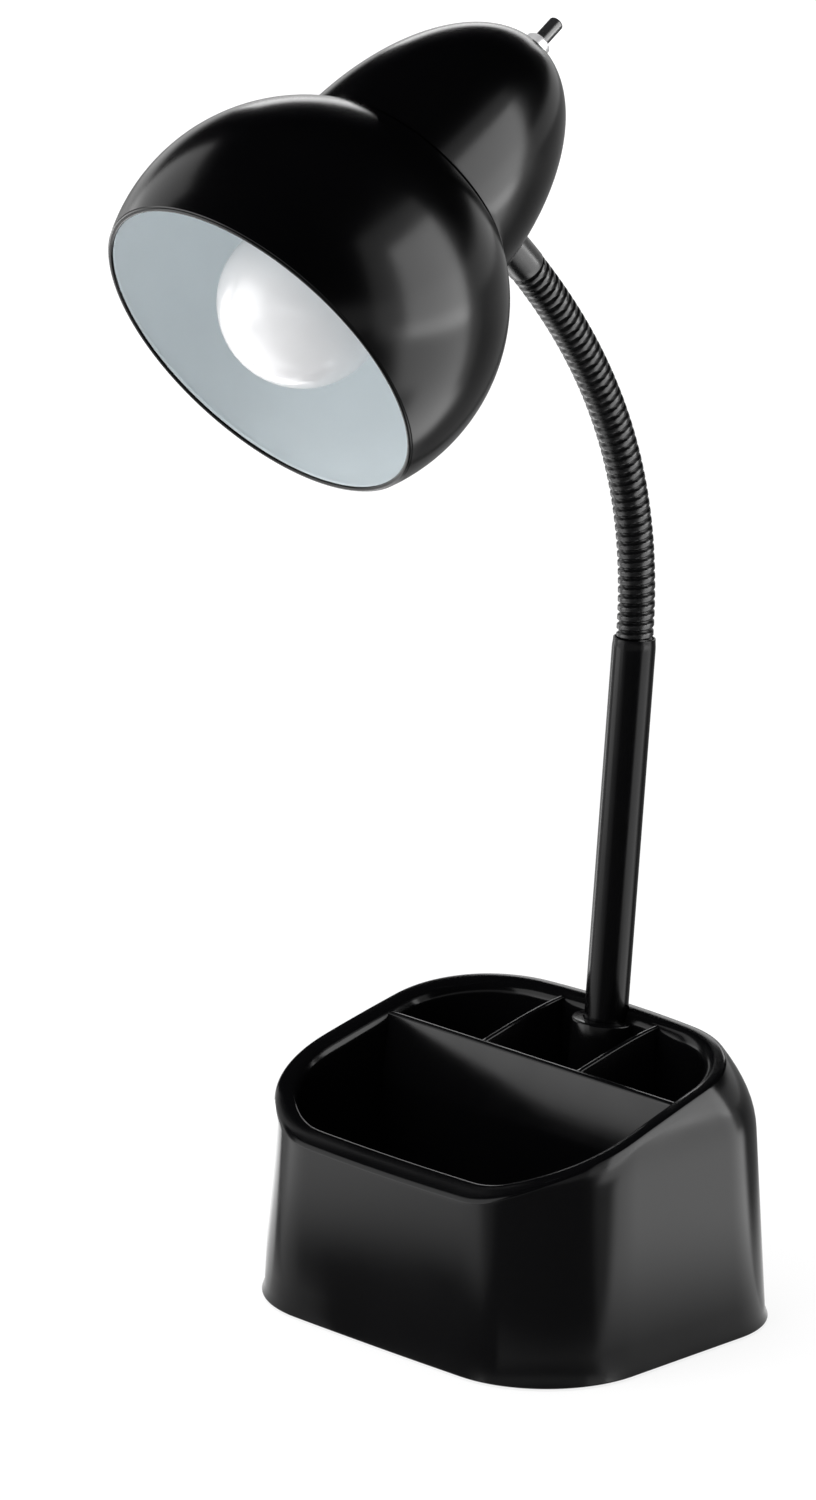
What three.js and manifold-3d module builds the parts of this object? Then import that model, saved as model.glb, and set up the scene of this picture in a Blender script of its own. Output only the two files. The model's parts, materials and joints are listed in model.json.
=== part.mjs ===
// Desk lamp with a pen holder: a moulded base with a tray and pen cells, a leaning tube,
// a ribbed gooseneck and a round metal head with a turn switch at its tip.
// Millimetres, +Z up. The base stands on the origin and faces -Y, and the neck lies in the plane X = 0.
import * as THREE from 'three';
import { mergeVertices } from 'three/addons/utils/BufferGeometryUtils.js';
import Module from 'manifold-3d';

const wasm = await Module();
wasm.setup();

// General values
const fitGap = 0.3;
const cutOverrun = 4;
const weldDepth = 1;
const mergeTolerance = 1e-4;
const degree = Math.PI / 180;
const rightAngle = 90 * degree;

// Base housing
const baseWidth = 170;
const baseDepth = 135;
const frontCornerRadius = 44;
const rearCornerRadius = 34;
const frontRimHeight = 65.5;
const rearRimHeight = 102;
const wallLeanShare = 0.039;
const shoulderHeight = 72.7;
const shoulderInset = 5.2;
const shoulderRounding = 10;
const frontCrown = 0.4;
const rearCrown = 2;
const footFlare = 0.9;
const footFlareHeight = 4;
const housingFootHeight = 0.8;
const rimWidth = 8;
const rimInnerRadius = 5;
const rimOuterRadius = 1.2;
const rimBandHeight = 14.4;
const wallRowShare = 0.4;
const rimRowShares = [0.35, 0.7, 1];
const rimRiseShares = [
  [0, -0.06], [0.017, 0], [0.07, 0.178], [0.159, 0.356], [0.352, 0.575],
  [0.648, 0.836], [0.833, 0.964], [0.981, 1], [1, 1],
];
const skinThickness = 2.5;
const wellThickness = 2.2;
const trayFloorHeight = 30;
const wellDraft = 1.5;
const wellFloorRadius = 4;
const rimHollowDepth = 9;
const dividerPlace = 10;
const dividerThickness = 3;
const dividerDrop = 1.5;
const partitionSpacing = 48;
const partitionThickness = 2.4;

// Cover, pad and screws under the base
const padThickness = 1.5;
const padInset = 5;
const coverThickness = 3;
const coverScrewShares = [[-0.59, -0.585], [0.59, -0.585], [0.776, 0.356], [-0.776, 0.356]];
const screwShankRadius = 1.5;
const screwHeadRadius = 3;
const screwHeadThickness = 1.6;
const coverScrewLength = 12;
const screwPostRadius = 4.2;

// Ballast and the charging board inside the base
const ballastEndRoom = 3.95;
const ballastFrontRoom = 15.5;
const ballastRearRoom = 22.4;
const ballastThickness = 16;
const ballastCornerRadius = 6;
const boardLength = 46;
const boardWidth = 34;
const boardThickness = 1.6;
const boardPlaceX = 34;
const boardPostHeight = 5;
const boardPostRadius = 2.6;
const boardPostInset = 4.5;
const transformerLength = 16;
const transformerWidth = 14;
const transformerHeight = 9;
const capacitorRadius = 4;
const capacitorHeight = 9;
const portWidth = 13.1;
const portHeight = 5.8;
const portDepth = 14;
const portWall = 0.4;
const portTongueWidth = 11;
const portTongueThickness = 1.8;
const portTongueDepth = 9;
const portRecess = 0.6;
const portSeatShare = 1 / 3;

// Mains inlet and the splices behind it
const inletPlaceX = -34;
const inletHeight = 16;
const inletRadius = 5.5;
const inletBoreRadius = 3.4;
const inletFlangeRadius = 7.5;
const inletFlangeThickness = 1.6;
const inletDepth = 9;
const spliceRadius = 4.5;
const spliceTipRadius = 3;
const spliceLength = 20;
const splicePitch = 12;

// Neck tube and its seat in the base
const neckFootSetback = 18.5;
const bossDrop = 4.5;
const bossRadius = 12.5;
const neckLean = 5.5 * degree;
const tubeRadius = 7.94;
const tubeWall = 0.9;
const tubeSocketDepth = 22;
const tubeTopRise = 141.9;
const tubeMouthLength = 4;
const tubeMouthShrink = 0.25;
const nippleRadius = 4.9;
const nippleBoreRadius = 3.3;
const nippleSocketDepth = 12;
const bossWebThickness = 4;
const nutFlats = 14;
const nutThickness = 3.5;
const washerRoom = 1.3;
const washerThickness = 1.2;
const leadRadius = 2.4;
const leadStep = 12;
const leadTailLength = 10.5;

// Gooseneck
const ribRadius = 6.75;
const grooveRadius = 5.8;
const neckBoreRadius = 3.3;
const ribCount = 47;
const ribsPerSegment = 6;
const segmentCount = 8;
const ribCrestShare = 0.68;
const neckHandle = 67;
const segmentTailLength = 14;
const segmentTailRoom = 0.44;
const hingeSwing = 14 * degree;
const cuffRadius = 6.9;
const cuffLength = 24;
const cuffSocketDepth = 8;
const cuffPlugRadius = 5.4;
const cuffWebThickness = 4;
const cuffNippleRise = 8;
const cupNutRise = 1.2;

// Head
const headReach = 101.3;
const headHeight = 392.9;
const headTilt = 32.5 * degree;
const shadeRadius = 70.5;
const shadeThickness = 1;
const shadeMouthPlace = -26.5;
const shadeSeamPlace = 54.3;
const shadeHemThickness = 1.7;
const shadeHemDepth = 2;
const spigotLength = 3;
const seamStep = 0.39;
const cupLength = 83.2;
const cupCentreSetback = 6.2;
const cupTipRadius = 6.2;
const neckEntrySetback = 48.1;

// Socket, switch and bulb
const socketRadius = 19.2;
const socketSetback = 38.5;
const socketLength = 45;
const socketBackThickness = 11.1;
const socketShoulderRadius = 24;
const socketShoulderThickness = 3;
const socketTaperLength = 8;
const socketTailRadius = 13;
const shadeRingRadius = 25;
const shadeRingThickness = 5;
const shellThickness = 0.6;
const contactThickness = 1.2;
const contactRadius = 5;
const switchBodyRadius = 12;
const switchBodyLength = 12;
const bushingRadius = 3.6;
const bushingBoreRadius = 1.8;
const bushingExposure = 4.6;
const switchNutRadius = 5.2;
const switchNutThickness = 4.4;
const switchNutChamfer = 0.6;
const innerNutThickness = 3;
const knobRadius = 2.35;
const knobLength = 10.4;
const knobEdgeRadius = 0.7;
const shaftRadius = 1.45;
const shaftDepth = 20;
const bulbRadius = 29.6;
const bulbGlassThickness = 0.9;
const bulbLength = 110;
const bulbCapRadius = 13;
const bulbCapLength = 27;
const bulbCapWall = 0.5;
const bulbNeckRadius = 12;
const bulbNeckInsert = 4;
const bulbContactRadius = 4.5;
const bulbContactLength = 2;
const bulbNeckTurn = 52 * degree;
const bulbWaistShare = 0.55;
const capTaperShare = 0.7;

// Facet counts
const cornerSteps = 7;
const crownSteps = 3;
const sideSteps = 8;
const tubeSides = 20;
const neckSides = 10;
const innerSides = 12;
const leadSides = 8;
const shadeSides = 44;
const socketSides = 20;
const shadeOuterSteps = 11;
const shadeInnerSteps = 7;
const cupSteps = 8;
const bulbSteps = 8;
const headLeadSteps = 14;
const rimCurveSteps = 180;
const rimSettleRounds = 6;

// Materials
function finish(color, roughness, metalness) {
  return new THREE.MeshStandardMaterial({ color, roughness, metalness });
}

const finishes = {
  blackPlastic: () => finish(0x131315, 0.22, 0),
  blackSteel: () => finish(0x0f0f11, 0.28, 0.1),
  blackNeck: () => finish(0x151517, 0.42, 0.2),
  brightMetal: () => finish(0xc9cbcc, 0.25, 1),
  brass: () => finish(0xc2a25a, 0.35, 1),
  rubber: () => finish(0x1c1c1d, 0.85, 0),
  iron: () => finish(0x4b4d50, 0.6, 0.8),
  phenolic: () => finish(0x1d1a19, 0.45, 0),
  boardGreen: () => finish(0x1f5a3a, 0.5, 0),
  opalGlass: () => finish(0xf6f4ee, 0.3, 0),
  paleMoulding: () => finish(0xd9d9d4, 0.5, 0),
};

// Solids and booleans
function solidOf(geometry) {
  const bare = geometry.clone();
  bare.deleteAttribute('normal');
  bare.deleteAttribute('uv');
  const merged = mergeVertices(bare, mergeTolerance);
  return new wasm.Manifold(new wasm.Mesh({
    numProp: 3,
    vertProperties: new Float32Array(merged.attributes.position.array),
    triVerts: new Uint32Array(merged.index.array),
  }));
}

function geometryOf(solid) {
  const mesh = solid.getMesh();
  const geometry = new THREE.BufferGeometry();
  geometry.setAttribute('position', new THREE.BufferAttribute(new Float32Array(mesh.vertProperties), 3));
  geometry.setIndex(new THREE.BufferAttribute(new Uint32Array(mesh.triVerts), 1));
  geometry.computeVertexNormals();
  return geometry;
}

function join(first, ...others) {
  return geometryOf(others.reduce((sum, next) => sum.add(solidOf(next)), solidOf(first)));
}

function cut(body, ...tools) {
  return geometryOf(tools.reduce((rest, tool) => rest.subtract(solidOf(tool)), solidOf(body)));
}

function common(first, second) {
  return geometryOf(solidOf(first).intersect(solidOf(second)));
}

// Profiles are [radius, height] pairs and turn round the Z axis
function turned(profile, sides = tubeSides) {
  const points = profile.map(([radius, height]) => new THREE.Vector2(radius, height));
  return new THREE.LatheGeometry(points, sides).rotateX(rightAngle);
}

function disc(radius, bottom, top, sides = tubeSides) {
  return turned([[0, bottom], [radius, bottom], [radius, top], [0, top]], sides);
}

function ringOf(outer, inner, bottom, top, sides = tubeSides) {
  return turned([[inner, bottom], [outer, bottom], [outer, top], [inner, top], [inner, bottom]], sides);
}

function block(lengthX, lengthY, lengthZ, bottom) {
  return new THREE.BoxGeometry(lengthX, lengthY, lengthZ).translate(0, 0, bottom + lengthZ / 2);
}

function hexPlate(flats, hole, bottom, top) {
  const corners = 6;
  const circle = (radius) => new THREE.Path().absarc(0, 0, radius, 0, 2 * Math.PI);
  const corner = flats / 2 / Math.cos(Math.PI / corners);
  const outline = new THREE.Shape(circle(corner).getSpacedPoints(corners).slice(0, corners));
  outline.holes.push(new THREE.Path(circle(hole).getSpacedPoints(innerSides)));
  const depth = top - bottom;
  return new THREE.ExtrudeGeometry(outline, { depth, bevelEnabled: false }).translate(0, 0, bottom);
}

function roundedPlate(lengthX, lengthY, radius, thickness) {
  const right = lengthX / 2 - radius;
  const far = lengthY / 2 - radius;
  const shape = new THREE.Shape();
  shape.absarc(right, far, radius, 0, rightAngle);
  shape.absarc(-right, far, radius, rightAngle, 2 * rightAngle);
  shape.absarc(-right, -far, radius, 2 * rightAngle, 3 * rightAngle);
  shape.absarc(right, -far, radius, 3 * rightAngle, 4 * rightAngle);
  const options = { depth: thickness, bevelEnabled: false, curveSegments: cornerSteps };
  return new THREE.ExtrudeGeometry(shape, options);
}

// A body from rings of equal counts: the side walls, then the two ends closed by the given function.
// Pointed ends also need the two tips.
function bodyOfRings(rings, closeEnds, tips = []) {
  const count = rings[0].length;
  const positions = [...rings.flat(), ...tips].flatMap((point) => [point.x, point.y, point.z]);
  const faces = [];
  for (let ring = 0; ring + 1 < rings.length; ring += 1) {
    for (let i = 0; i < count; i += 1) {
      const next = (i + 1) % count;
      const low = ring * count;
      const high = low + count;
      faces.push(low + i, low + next, high + next, low + i, high + next, high + i);
    }
  }
  closeEnds(faces, count, rings.length);
  const geometry = new THREE.BufferGeometry();
  geometry.setAttribute('position', new THREE.Float32BufferAttribute(positions, 3));
  geometry.setIndex(faces);
  return geometry;
}

// Ends of a shape that is alike on both sides of X = 0 close with strips from each point to its mirror
function mirroredEnds(faces, count, ringTotal) {
  const half = count / 2;
  const last = (ringTotal - 1) * count;
  for (let i = 0; i < half; i += 1) {
    const left = (count - i) % count;
    const leftNext = count - i - 1;
    if (i > 0) {
      faces.push(last + i, last + i + 1, last + left, i, left, i + 1);
    }
    if (i + 1 < half) {
      faces.push(last + i + 1, last + leftNext, last + left, i + 1, left, leftNext);
    }
  }
}

function pointedEnds(faces, count, ringTotal) {
  const last = (ringTotal - 1) * count;
  const firstTip = ringTotal * count;
  for (let i = 0; i < count; i += 1) {
    const next = (i + 1) % count;
    faces.push(firstTip, next, i, firstTip + 1, last + i, last + next);
  }
}

function tubeEnds(faces, count, ringTotal) {
  const last = (ringTotal - 1) * count;
  for (let i = 0; i < count; i += 1) {
    const next = (i + 1) % count;
    faces.push(last + i, last + next, next, last + i, next, i);
  }
}

// The rim's height along the depth of the base
const rimCurve = new THREE.SplineCurve(rimRiseShares.map(([place, rise]) => new THREE.Vector2(
  (place - 0.5) * baseDepth,
  frontRimHeight + rise * (rearRimHeight - frontRimHeight),
)));
const rimSamples = rimCurve.getPoints(rimCurveSteps);

function rimHeight(place) {
  const after = rimSamples.findIndex((point) => point.x >= place);
  if (after === 0) return rimSamples[0].y;
  if (after < 0) return rimSamples.at(-1).y;
  const low = rimSamples[after - 1];
  const high = rimSamples[after];
  return THREE.MathUtils.mapLinear(place, low.x, high.x, low.y, high.y);
}

// How far the wall's foot flares out at a height
const flareAt = (height) => footFlare * THREE.MathUtils.clamp(1 - height / footFlareHeight, 0, 1);

// A crowned end of the plan is a shallow parabola that runs into the corner's arc without a kink
function crownEnd(side, crown, radius) {
  const slope = Math.atan2(2 * crown, side - radius);
  return { slope, run: side - radius + radius * Math.sin(slope), arcPlace: crown + radius * Math.cos(slope) };
}

// Right half of the base's plan at a height, from the middle of the front to the middle of the rear
function halfPlan(height, inset) {
  const aboveShoulder = (height - shoulderHeight) / (rearRimHeight - shoulderHeight);
  const closing = THREE.MathUtils.clamp(aboveShoulder, 0, 1) ** 2;
  const shrink = wallLeanShare * Math.max(height, 0) + shoulderInset * closing - flareAt(height) + inset;
  const side = baseWidth / 2 - shrink;
  const far = baseDepth / 2 - shrink;
  const quarter = (crown, radius) => {
    const { slope, run, arcPlace } = crownEnd(side, crown, radius);
    const points = [];
    for (let i = 0; i < crownSteps; i += 1) {
      const share = i / crownSteps;
      points.push(new THREE.Vector2(share * run, far - crown * share ** 2));
    }
    for (let i = 0; i <= cornerSteps; i += 1) {
      const turn = THREE.MathUtils.lerp(rightAngle - slope, 0, i / cornerSteps);
      const across = side - radius + radius * Math.cos(turn);
      points.push(new THREE.Vector2(across, far - arcPlace + radius * Math.sin(turn)));
    }
    return points;
  };
  const front = quarter(frontCrown, frontCornerRadius + shoulderRounding * closing - inset);
  const rear = quarter(rearCrown, rearCornerRadius + shoulderRounding * closing - inset);
  const points = front.map((point) => new THREE.Vector2(point.x, -point.y));
  for (let i = 1; i < sideSteps; i += 1) {
    points.push(new THREE.Vector2(side, THREE.MathUtils.lerp(-front.at(-1).y, rear.at(-1).y, i / sideSteps)));
  }
  return [...points, ...rear.reverse()];
}

// A ring of the plan: inset from the wall, at the height that heightAt gives for each point.
// Where alongRim is set, the plan is the one at the rim, so that inner walls follow the rim's line.
function planRing(inset, heightAt, alongRim = false) {
  const planHeightAt = alongRim ? rimHeight : heightAt;
  const half = halfPlan(shoulderHeight, inset).map((start, index) => {
    let point = start;
    for (let round = 0; round < rimSettleRounds; round += 1) {
      point = halfPlan(planHeightAt(point.y), inset)[index];
    }
    return new THREE.Vector3(point.x, point.y, heightAt(point.y));
  });
  const mirrored = half.slice(1, -1).reverse().map((point) => new THREE.Vector3(-point.x, point.y, point.z));
  return [...half, ...mirrored];
}

const level = (height) => () => height;
const underRim = (drop) => (place) => rimHeight(place) - drop;
const towardRim = (start, drop, share) => (place) => start + (rimHeight(place) - drop - start) * share;

function outerForm() {
  const straightTop = frontRimHeight - rimBandHeight;
  const rings = [housingFootHeight, footFlareHeight, wallRowShare * straightTop, straightTop].map(
    (height) => planRing(0, level(height)),
  );
  for (const share of rimRowShares) {
    rings.push(planRing(0, towardRim(straightTop, rimOuterRadius, share)));
  }
  for (const turn of [rightAngle / 2, rightAngle]) {
    const inset = rimOuterRadius * (1 - Math.cos(turn));
    rings.push(planRing(inset, underRim(rimOuterRadius * (1 - Math.sin(turn)))));
  }
  return bodyOfRings(rings, mirroredEnds);
}

// The whole inner well, with a rounded floor edge and the rim's rolled inner edge
function wellForm() {
  const rings = [];
  for (const turn of [0, rightAngle / 2, rightAngle]) {
    const inset = rimWidth + wellDraft + wellFloorRadius * (1 - Math.sin(turn));
    rings.push(planRing(inset, level(trayFloorHeight + wellFloorRadius * (1 - Math.cos(turn))), true));
  }
  for (const turn of [rightAngle, rightAngle * 2 / 3, rightAngle / 3, 0]) {
    const inset = rimWidth - rimInnerRadius * (1 - Math.sin(turn));
    rings.push(planRing(inset, underRim(rimInnerRadius * (1 - Math.cos(turn))), true));
  }
  rings.push(planRing(rimWidth - rimInnerRadius, underRim(-cutOverrun), true));
  return bodyOfRings(rings, mirroredEnds);
}

// A plain block of the well's plan, grown or shrunk, between two heights
function wellBlock(grow, bottomAt, topAt) {
  return bodyOfRings([
    planRing(rimWidth + wellDraft - grow, bottomAt, true),
    planRing(rimWidth - grow, topAt, true),
  ], mirroredEnds);
}

// The neck's own frame: its foot at the top of the boss, +Z up the leaning tube
const bossTopHeight = rearRimHeight - bossDrop;
const neckFoot = new THREE.Vector3(0, baseDepth / 2 - neckFootSetback, bossTopHeight);
const alongTube = new THREE.Vector3(0, Math.sin(neckLean), Math.cos(neckLean));
const onTube = (geometry) => geometry.rotateX(-neckLean).translate(neckFoot.x, neckFoot.y, neckFoot.z);
const bossWebTop = -tubeSocketDepth;
const bossWebBottom = bossWebTop - bossWebThickness;

const coverScrewPlaces = coverScrewShares.map(([x, y]) => [x * baseWidth / 2, y * baseDepth / 2]);
const coverBottom = padThickness + fitGap;
const coverTop = coverBottom + coverThickness;
const boardBottom = coverTop + boardPostHeight;
const boardTop = boardBottom + boardThickness;
const rearWallFace = halfPlan(inletHeight, 0).at(-1).y;
const portCentreHeight = boardTop + fitGap + portHeight / 2;
const rearRun = crownEnd(baseWidth / 2 - wallLeanShare * inletHeight, rearCrown, rearCornerRadius).run;
const rearFaceAt = (placeX) => rearWallFace - rearCrown * (placeX / rearRun) ** 2;
const portFace = rearFaceAt(boardPlaceX + portWidth / 2) - portRecess;
const boardPlaceY = portFace - portDepth * portSeatShare - boardWidth / 2;

function baseHousing() {
  const outer = outerForm();
  const hollow = bodyOfRings([
    planRing(skinThickness + flareAt(0), level(-cutOverrun)),
    planRing(skinThickness, level(footFlareHeight)),
    planRing(skinThickness, level(frontRimHeight - 2 * rimHollowDepth)),
    planRing(skinThickness, underRim(rimHollowDepth)),
  ], mirroredEnds);
  const wellWall = wellBlock(wellThickness, level(trayFloorHeight - wellThickness), underRim(-cutOverrun));
  const column = common(outer, onTube(disc(bossRadius, trayFloorHeight - wellThickness - bossTopHeight, 0)));
  const atScrews = (geometry) => coverScrewPlaces.map(([x, y]) => geometry.clone().translate(x, y, 0));
  const posts = atScrews(disc(screwPostRadius, coverTop + fitGap, trayFloorHeight));
  const walls = cut(outer, wellForm(), cut(hollow, wellWall));
  const weld = wellBlock(weldDepth, level(trayFloorHeight - weldDepth), underRim(dividerDrop));
  const dividerHeight = rearRimHeight - trayFloorHeight + weldDepth;
  const divider = block(baseWidth, dividerThickness, dividerHeight, trayFloorHeight - weldDepth)
    .translate(0, dividerPlace, 0);
  const cellDepth = baseDepth / 2 - dividerPlace;
  const partition = block(partitionThickness, cellDepth, dividerHeight, trayFloorHeight - weldDepth)
    .translate(0, dividerPlace + cellDepth / 2, 0);
  const ribs = [-1, 1].map((sign) => partition.clone().translate(sign * partitionSpacing / 2, 0, 0));
  const furniture = common(weld, join(divider, ...ribs));
  const bossHollowRadius = bossRadius - wellThickness;
  const bores = [
    disc(tubeRadius + fitGap, bossWebTop, bossDrop + cutOverrun),
    disc(nippleRadius + fitGap, bossWebBottom - cutOverrun, bossWebTop + cutOverrun),
    disc(bossHollowRadius, -bossTopHeight, bossWebBottom),
  ].map(onTube);
  const screwBores = atScrews(disc(screwShankRadius + fitGap, -cutOverrun, coverScrewLength + coverTop));
  const portWindow = block(portWidth + 2 * fitGap, portDepth, portHeight + 2 * fitGap, 0)
    .translate(boardPlaceX, rearWallFace, portCentreHeight - portHeight / 2 - fitGap);
  const inletHole = disc(inletRadius + fitGap, -inletDepth, inletDepth).rotateX(rightAngle)
    .translate(inletPlaceX, rearWallFace, inletHeight);
  return cut(join(walls, furniture, column, ...posts), ...bores, ...screwBores, portWindow, inletHole);
}

function bottomCover() {
  const edge = skinThickness + fitGap;
  const plate = bodyOfRings([coverBottom, coverTop].map(
    (height) => planRing(edge + flareAt(height), level(height)),
  ), mirroredEnds);
  const post = disc(boardPostRadius, coverTop - weldDepth, boardBottom - fitGap);
  const posts = boardPostPlaces.map(([x, y]) => post.clone().translate(x, y, 0));
  const screwHoles = coverScrewPlaces.flatMap(([x, y]) => [
    disc(screwShankRadius + fitGap, 0, coverTop + cutOverrun).translate(x, y, 0),
    disc(screwHeadRadius + fitGap, 0, coverBottom + screwHeadThickness + fitGap).translate(x, y, 0),
  ]);
  return cut(join(plate, ...posts), ...screwHoles);
}

const boardPostPlaces = [[-1, -1], [1, -1], [1, 1], [-1, 1]].map(([x, y]) => [
  boardPlaceX + x * (boardLength / 2 - boardPostInset),
  boardPlaceY + y * (boardWidth / 2 - boardPostInset),
]);

function coverScrew() {
  return turned([
    [0, 0], [screwHeadRadius, 0], [screwHeadRadius, screwHeadThickness],
    [screwShankRadius, screwHeadThickness], [screwShankRadius, coverScrewLength], [0, coverScrewLength],
  ], innerSides);
}

function portShell() {
  const shell = block(portWidth, portDepth, portHeight, 0);
  const mouth = block(portWidth - 2 * portWall, portDepth, portHeight - 2 * portWall, portWall)
    .translate(0, 2 * portWall, 0);
  return cut(shell, mouth);
}

function inletBush() {
  return turned([
    [inletBoreRadius, -inletDepth], [inletRadius, -inletDepth], [inletRadius, 0], [inletFlangeRadius, 0],
    [inletFlangeRadius, inletFlangeThickness], [inletBoreRadius, inletFlangeThickness],
    [inletBoreRadius, -inletDepth],
  ]).rotateX(-rightAngle);
}

function spliceCap() {
  return turned([[0, 0], [spliceRadius, 0], [spliceTipRadius, spliceLength], [0, spliceLength]], innerSides)
    .rotateY(rightAngle);
}

// Neck tube, its threaded foot and the nut that draws it down
function neckTube() {
  const top = tubeTopRise;
  const bottom = bossWebTop + fitGap;
  const inner = tubeRadius - tubeWall;
  return turned([
    [inner, bottom], [tubeRadius, bottom], [tubeRadius, top - tubeMouthLength],
    [tubeRadius - tubeMouthShrink, top], [inner, top], [inner, bottom],
  ], tubeSides);
}

// The gooseneck's centre line, from the tube's mouth to the cup, square to the cup's wall
const neckStart = neckFoot.clone().addScaledVector(alongTube, tubeTopRise);
const headCentre = new THREE.Vector3(0, -headReach, headHeight);
const headTurn = headTilt - rightAngle;
const headSpin = new THREE.Quaternion().setFromAxisAngle(new THREE.Vector3(1, 0, 0), headTurn);
const inHead = (y, z) => new THREE.Vector3(0, y, z).applyQuaternion(headSpin).add(headCentre);

// The cup is half of a long ellipsoid that starts at the shade's seam, and what it carries hangs on its tip
const circleHeight = (radius, width) => Math.sqrt(radius ** 2 - width ** 2);
const cupCentrePlace = shadeSeamPlace - cupCentreSetback;
const seamRadius = circleHeight(shadeRadius, shadeSeamPlace) - seamStep;
const cupRadius = seamRadius / circleHeight(1, cupCentreSetback / cupLength);
const cupTip = cupCentrePlace + cupLength * circleHeight(1, cupTipRadius / cupRadius);
const neckEntryPlace = cupTip - neckEntrySetback;
const socketRearPlace = cupTip - socketSetback;
const socketFrontPlace = socketRearPlace - socketLength;
const cupRadiusAt = (place) => cupRadius * Math.sqrt(1 - ((place - cupCentrePlace) / cupLength) ** 2);
const neckEntryRadius = cupRadiusAt(neckEntryPlace);
const entrySlope = Math.atan2(
  (neckEntryPlace - cupCentrePlace) / cupLength ** 2,
  neckEntryRadius / cupRadius ** 2,
);
const neckEnd = inHead(neckEntryRadius, neckEntryPlace);
const neckArrival = inHead(0, 0).sub(inHead(Math.cos(entrySlope), Math.sin(entrySlope)));
const neckLine = new THREE.CubicBezierCurve3(
  neckStart,
  neckStart.clone().addScaledVector(alongTube, neckHandle),
  neckEnd.clone().addScaledVector(neckArrival, -neckHandle),
  neckEnd,
);
const neckLength = neckLine.getLength();
const ribPitch = (neckLength - cuffLength) / ribCount;

// A point and the two cross directions on the centre line, which runs on straight past both ends
function neckFrame(distance) {
  const share = THREE.MathUtils.clamp(distance / neckLength, 0, 1);
  const tangent = neckLine.getTangentAt(share);
  const centre = neckLine.getPointAt(share).addScaledVector(tangent, distance - share * neckLength);
  const across = new THREE.Vector3(1, 0, 0);
  return { centre, tangent, across, normal: new THREE.Vector3().crossVectors(tangent, across) };
}

function neckRing(distance, radius, sides = neckSides) {
  const { centre, across, normal } = neckFrame(distance);
  return Array.from({ length: sides }, (_, i) => {
    const turn = (i / sides) * 2 * Math.PI;
    const point = centre.clone().addScaledVector(across, radius * Math.cos(turn));
    return point.addScaledVector(normal, radius * Math.sin(turn));
  });
}

const segmentTailRadius = tubeRadius - tubeWall - segmentTailRoom;

// Half the room that a hinge between two segments needs at a radius, so that they bend without touching
const hingeRoom = (radius) => fitGap / 2 + radius * Math.tan(hingeSwing / 2);
const segmentStart = (index) => index * ribsPerSegment * ribPitch;

function neckSegment(index) {
  const first = index * ribsPerSegment;
  const last = Math.min(first + ribsPerSegment, ribCount);
  const start = first * ribPitch;
  const end = last * ribPitch;
  const isFoot = index === 0;
  const isTip = index === segmentCount - 1;
  const crestHalf = ribCrestShare * ribPitch / 2;
  const rings = [];
  if (isFoot) {
    rings.push(neckRing(-segmentTailLength, segmentTailRadius), neckRing(0, segmentTailRadius));
  } else {
    rings.push(neckRing(start + hingeRoom(grooveRadius), grooveRadius));
  }
  for (let rib = first; rib < last; rib += 1) {
    const middle = (rib + 0.5) * ribPitch;
    const low = rib === first && !isFoot ? start + hingeRoom(ribRadius) : middle - crestHalf;
    const high = rib === last - 1 && !isTip ? end - hingeRoom(ribRadius) : middle + crestHalf;
    rings.push(neckRing(low, ribRadius), neckRing(high, ribRadius));
    if (rib < last - 1) {
      rings.push(neckRing((rib + 1) * ribPitch, grooveRadius));
    }
  }
  if (isTip) {
    rings.push(neckRing(end, cuffPlugRadius), neckRing(end + cuffSocketDepth - fitGap, cuffPlugRadius));
    rings.push(neckRing(end + cuffSocketDepth - fitGap, neckBoreRadius));
  } else {
    rings.push(neckRing(end - hingeRoom(grooveRadius), grooveRadius));
    rings.push(neckRing(end - hingeRoom(neckBoreRadius), neckBoreRadius));
  }
  rings.push(neckRing((start + end) / 2, neckBoreRadius));
  rings.push(neckRing(isFoot ? -segmentTailLength : start + hingeRoom(neckBoreRadius), neckBoreRadius));
  return bodyOfRings(rings, tubeEnds);
}

// A stretch of the lead inside the neck, between two distances on the centre line. Its ends are shallow
// cones, so that it meets the next stretch at the hinge and both can still bend there.
const leadConeDepth = hingeRoom(leadRadius) - hingeRoom(0);

function leadStretch(start, end) {
  const steps = Math.max(2, Math.round((end - start) / leadStep));
  const rings = Array.from({ length: steps + 1 }, (_, i) => {
    const distance = THREE.MathUtils.lerp(start + leadConeDepth, end - leadConeDepth, i / steps);
    return neckRing(distance, leadRadius, leadSides);
  });
  return bodyOfRings(rings, pointedEnds, [neckFrame(start).centre, neckFrame(end).centre]);
}

const cuffStart = ribCount * ribPitch + fitGap;
const cupNippleDepth = cuffLength - cuffSocketDepth - cuffWebThickness;

function neckCuff() {
  const socketRadiusInside = cuffPlugRadius + fitGap;
  const socketEnd = cuffStart + cuffSocketDepth;
  const nippleStart = neckLength - fitGap - cupNippleDepth;
  return bodyOfRings([
    neckRing(cuffStart, socketRadiusInside, tubeSides),
    neckRing(cuffStart, cuffRadius, tubeSides),
    neckRing((cuffStart + neckLength) / 2, cuffRadius, tubeSides),
    neckRing(neckLength - fitGap, cuffRadius, tubeSides),
    neckRing(neckLength - fitGap, nippleRadius + fitGap, tubeSides),
    neckRing(nippleStart, nippleRadius + fitGap, tubeSides),
    neckRing(nippleStart, neckBoreRadius, tubeSides),
    neckRing(socketEnd, neckBoreRadius, tubeSides),
    neckRing(socketEnd, socketRadiusInside, tubeSides),
  ], tubeEnds);
}

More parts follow.
